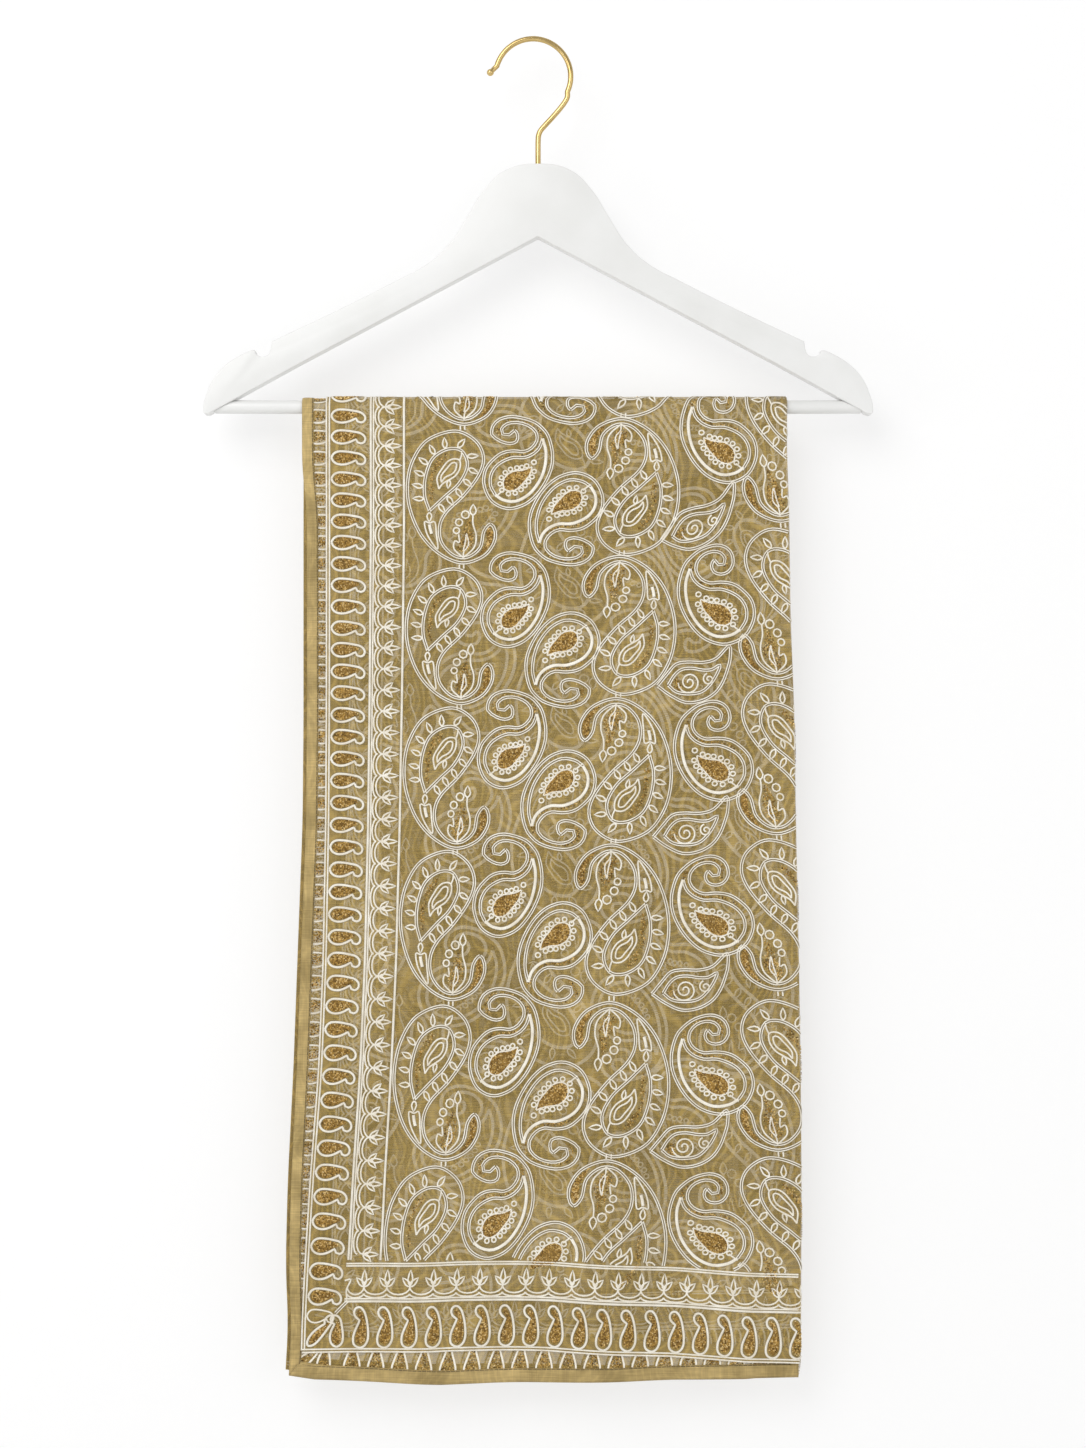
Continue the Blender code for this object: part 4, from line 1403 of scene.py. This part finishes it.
drawings = {}
for ply_name, ply, phase in (("upper", UPPER, 0.0), ("under", UNDER, UNDER_PHASE)):
    whole = field_strokes(ply_name, ply) + side_strokes(ply_name)
    for side in ("front", "back"):
        end = end_strokes(side, ply_name, phase)
        half = -BAR_WRAP / 2
        mine = [(kind, points) for kind, points in whole if (points[:, 1].mean() > half) == (side == "front")]
        drawings[side, ply_name] = mine + end
        print(side, ply_name, "strokes:", len(mine) + len(end))

# %% [markdown]
# ## Sewing it on
# The drawing is still flat. Each kind of cord becomes a curve object with its own cross-section: two rounded
# strands with a groove between them, or one strand. Their colour is darkened at the cords' feet, in that
# groove and in the twist, as painted shade for the shadows there. Made into a mesh, its points are carried to
# the hung cloth by the same function that hung the net, so the cords lie on it everywhere, over the bar too.

# %% Cord and gold finishes
STRAND_STEP = 0.25           # of a turn, from one point of a cord's cross-section to the next
group, given, result = start_group(
    "twisted_strand",
    [("Along", "NodeSocketFloat", 0.0), ("Round", "NodeSocketFloat", 0.0),
     ("Pitch", "NodeSocketFloat", 0.0016)],
    [("Height", "NodeSocketFloat"), ("Groove_Shade", "NodeSocketFloat")],
)
slanted = calculate(group, "ADD", calculate(group, "DIVIDE", given["Along"], given["Pitch"]), given["Round"])
height = calculate(group, "SINE", calculate(group, "MULTIPLY", slanted, 2 * math.pi))
# Groove_Shade is painted shade: 1 in the twist's hollows, where the colour is made darker.
fill_inputs(result, {"Height": height, "Groove_Shade": ranged(group, height, 1.0, 0.0, -1.0, -0.2)})

ivory, tree, shader = start_material("ivory_cord", Roughness=0.55, Sheen_Weight=0.3, Sheen_Roughness=0.35)
strand = use_group(tree, "twisted_strand", {"Along": read_attribute(tree, "along"),
                                            "Round": read_attribute(tree, "sideways")})
tone = mottled(tree, 130.0, (0.96, 0.92, 0.82), (0.80, 0.73, 0.60))
# Painted shade: the cord's tone is 7% darker in the hollows of its twist.
groove_shaded_tone = times(tree, tone["Color"], ranged(tree, strand["Groove_Shade"], 1.0, 0.93))
# Painted shade: depth darkens a cord to dark brown at its feet and in its groove, as their shadows.
fill_inputs(shader, {"Base Color": mixed(tree, read_attribute(tree, "depth"), groove_shaded_tone, (0.15, 0.105, 0.04, 1.0)),
                     "Normal": relief(tree, strand["Height"], 0.00006, 0.5)})

gold, tree, shader = start_material("gold_thread", Metallic=0.35)
tone_and_glint = read_attribute(tree, "tone_and_glint")
# A random value per grain: brown to orange is the thread's own tone; the pale yellow top is a painted glint.
ramp = tree.nodes.new("ShaderNodeValToRGB")
for stop, colour in ((0.0, (0.11, 0.06, 0.012)), (0.35, (0.35, 0.205, 0.042)), (0.7, (0.64, 0.42, 0.12))):
    mark = ramp.color_ramp.elements.new(stop) if stop > 0.0 else ramp.color_ramp.elements[0]
    mark.color = (*colour, 1.0)
# The painted highlight: the pale yellow of a glint on grains that catch the light.
ramp.color_ramp.elements[-1].color = (0.92, 0.74, 0.40, 1.0)
fill_inputs(ramp, {"Fac": tone_and_glint})
fill_inputs(shader, {"Base Color": ramp.outputs["Color"], "Roughness": ranged(tree, tone_and_glint, 0.55, 0.28)})
print("embroidery finishes:", ivory.name, gold.name)

# %% Sewing helpers
def section(*half):
    """A cross-section from its left half: rows of place across, height over the cloth, and painted shade
    there.
    """
    return half + tuple((-x, up, painted_shade) for x, up, painted_shade in reversed(half) if x)


# foot and top: how dark the painted shade is at a flat stroke's edges and along its middle.
def flat_section(half_width, height=0.14, foot=0.0, top=0.0):
    return section((-half_width, 0.0, foot), (0.0, height, top))


# In millimetres, with painted shade from 0 to 1: dark at a cord's feet, where its shadow falls, and in its
# groove.
PROFILES = {
    "cord": section((-1.16, 0.0, 0.9), (-0.96, 0.42, 0.0), (-0.48, 0.5, 0.0), (-0.24, 0.1, 1.0)),
    "rope": section((-1.15, 0.0, 0.9), (-0.8, 0.55, 0.0), (0.0, 0.65, 0.05)),
    "braid": section((-0.86, 0.0, 0.9), (-0.5, 0.48, 0.0), (0.0, 0.4, 0.15)),
    "thread": flat_section(0.54, 0.5, 0.15),
}
# On the under ply only the stitches' backs show, thin and flat on the wrong side.
BACK_PROFILES = {
    "cord": flat_section(1.1, 0.16),
    "rope": flat_section(1.0, 0.16),
    "braid": flat_section(0.62, 0.16),
    "thread": flat_section(0.5),
    # painted shade at its foot and top dims the faint strokes
    "faint": flat_section(0.55, 0.14, 0.3, 0.15),
}
SEW_LIFT = 0.00008           # the cords' feet stand this far off the net


def laid_flat(points):
    """Points of the flat cloth in the plane where curves are drawn, with run downwards."""
    return np.column_stack((points[:, 0], -points[:, 1], np.zeros(len(points))))


def sew(name, strokes, kind, ply, profile, lift_way):
    """Sew all strokes of a kind; lift_way is 1 on the cloth's right side and -1 on its wrong side."""
    lines = [points for which, points in strokes if which == kind]
    x, up, painted_shade = np.array(profile).T
    shape = new_curve("cross_section", dimensions="2D")
    add_line(shape, np.column_stack((x * MM, up * MM, np.zeros(len(x)))))
    holder = add_object("cross_section", shape)
    drawn = new_curve(name, twist_mode="Z_UP", bevel_mode="OBJECT", bevel_object=holder)
    for points in lines:
        add_line(drawn, laid_flat(points))
    mesh = evaluated_mesh(add_object(name, drawn))
    bpy.data.objects.remove(holder, do_unlink=True)
    flat = get_points(mesh)
    reached = np.concatenate([np.cumsum(np.linalg.norm(np.diff(points, axis=0, prepend=points[:1]), axis=1))
                              for points in lines])
    add_values(mesh, "along", np.repeat(reached, len(x)))
    add_values(mesh, "sideways", np.tile(np.arange(len(x)) * STRAND_STEP, len(reached)))
    # depth holds each cross-section point's painted shade, which darkens the colour; it is no height.
    add_values(mesh, "depth", np.tile(painted_shade, len(reached)))
    set_points(mesh, hang(flat[:, 0], -flat[:, 1], ply, lift_way * (flat[:, 2] + SEW_LIFT)))
    mesh.shade_smooth()
    return dress(name, mesh, ivory, "ivory_cord")


for (side, ply_name), strokes in drawings.items():
    ply, profiles, lift_way = (UPPER, PROFILES, 1) if ply_name == "upper" else (UNDER, BACK_PROFILES, -1)
    for kind, profile in profiles.items():
        sew(f"{side}_{ply_name}_{kind}", strokes, kind, ply, profile, lift_way)

# %% [markdown]
# ## Gold thread fillings
# The heads of the small mangoes and parts of the large ones are filled with knots of gold thread, orange and
# brown, and the brightest of them are painted pale yellow as a highlight, a glint. They could be a noisy
# colour, but the knots have a real relief, so each filling is a thin brown pad with some hundred little
# four-sided grains. The grains are set on a jittered grid inside the charted shape, with a fixed seed, and go
# on to the hung cloth in one step.

# %% Gold grains and their pads
GRAIN_PITCH = 0.93           # millimetres
GRAIN_RADIUS = 0.62
GRAIN_HEIGHT = 0.5
SPECK_SHARE = 0.6            # how many of the places are filled where the gold is sparse
BACK_SHARE = 0.72            # and how many show on the under ply's wrong side
PAD_LIFT = 0.00010
PAD_TINT = 0.2
BAR_CUT = 1.4                # millimetres between the cuts that let a pad bend over the bar
JITTER = 0.32                # of the pitch
GRAIN_SIZES = (0.75, 1.15)
dice = np.random.default_rng(7)


def within(shape, points):
    """Which points lie in a closed shape: an odd number of its sides lies to their right."""
    inside = np.zeros(len(points), bool)
    for (ax, ay), (bx, by) in zip(shape, np.roll(shape, -1, axis=0)):
        spans = (ay > points[:, 1]) != (by > points[:, 1])
        at = ax + (points[:, 1] - ay) * (bx - ax) / (by - ay if by != ay else 1e-12)
        inside ^= spans & (points[:, 0] < at)
    return inside


def grain_places(strokes, gold_share):
    """Where grains stand: a jittered grid in each filled shape, thinned to a share of its places."""
    shares = {"gold": gold_share, "specks": gold_share * SPECK_SHARE}
    places = []
    for kind, shape in strokes:
        if kind in shares:
            low, high = shape.min(axis=0), shape.max(axis=0)
            grid = np.stack(np.meshgrid(np.arange(low[0], high[0], GRAIN_PITCH * MM),
                                        np.arange(low[1], high[1], GRAIN_PITCH * MM)), axis=-1).reshape(-1, 2)
            grid = grid + dice.uniform(-JITTER, JITTER, grid.shape) * GRAIN_PITCH * MM
            places.append(grid[within(shape, grid) & (dice.random(len(grid)) < shares[kind])])
    return np.concatenate(places)


def one_grain():
    maker = bmesh.new()
    bmesh.ops.create_cone(maker, cap_ends=False, segments=4, radius1=GRAIN_RADIUS * MM, radius2=0.0,
                          depth=GRAIN_HEIGHT * MM)
    bmesh.ops.remove_doubles(maker, verts=maker.verts, dist=1e-7)
    bmesh.ops.translate(maker, verts=maker.verts, vec=(0, 0, GRAIN_HEIGHT * MM / 2))
    return to_mesh("grain", maker)


def add_grains(name, strokes, ply, lift_way):
    """As many copies of one grain as there are places, spread over the hung cloth in one step."""
    places = grain_places(strokes, 1.0 if lift_way > 0 else BACK_SHARE)
    heap = add_object(name, one_grain())
    copies = heap.modifiers.new("copies", "ARRAY")
    copies.count = len(places)
    copies.use_relative_offset = False
    mesh = evaluated_mesh(heap)
    points = get_points(mesh).reshape(len(places), -1, 3)
    turned = dice.uniform(0, math.pi, (len(places), 1))
    size = dice.uniform(*GRAIN_SIZES, (len(places), 1))
    x = places[:, :1] + size * (points[..., 0] * np.cos(turned) - points[..., 1] * np.sin(turned))
    run = places[:, 1:] - size * (points[..., 0] * np.sin(turned) + points[..., 1] * np.cos(turned))
    lift = lift_way * (points[..., 2] * size + PAD_LIFT)
    add_values(mesh, "tone_and_glint", np.repeat(dice.random(len(places)), points.shape[1]))
    if lift_way < 0:
        mesh.flip_normals()
    set_points(mesh, hang(x.ravel(), run.ravel(), ply, lift.ravel()))
    return dress(name, mesh, gold, "gold_thread")


def add_pads(name, strokes):
    """Thin brown patches under the upper ply's grains, cut finely where they go over the bar."""
    sheet_curve = new_curve(name, dimensions="2D", fill_mode="BOTH")
    for kind, shape in strokes:
        if kind == "gold":
            add_line(sheet_curve, laid_flat(shape), closed=True)
    maker = bmesh.new()
    maker.from_mesh(evaluated_mesh(add_object(name, sheet_curve)))
    for height in np.arange(-1.0, BAR_WRAP_MM + 1.0, BAR_CUT):
        bmesh.ops.bisect_plane(maker, geom=maker.verts[:] + maker.edges[:] + maker.faces[:],
                               plane_co=(0, height * MM, 0), plane_no=(0, 1, 0))
    mesh = to_mesh(name, maker)
    flat = get_points(mesh)
    add_values(mesh, "tone_and_glint", np.full(len(flat), PAD_TINT))
    set_points(mesh, hang(flat[:, 0], -flat[:, 1], UPPER, PAD_LIFT))
    return dress(name, mesh, gold, "gold_thread")


for (side, ply_name), strokes in drawings.items():
    ply, lift_way = (UPPER, 1) if ply_name == "upper" else (UNDER, -1)
    add_grains(f"{side}_{ply_name}_grains", strokes, ply, lift_way)
    if ply_name == "upper":
        add_pads(f"{side}_upper_pads", strokes)
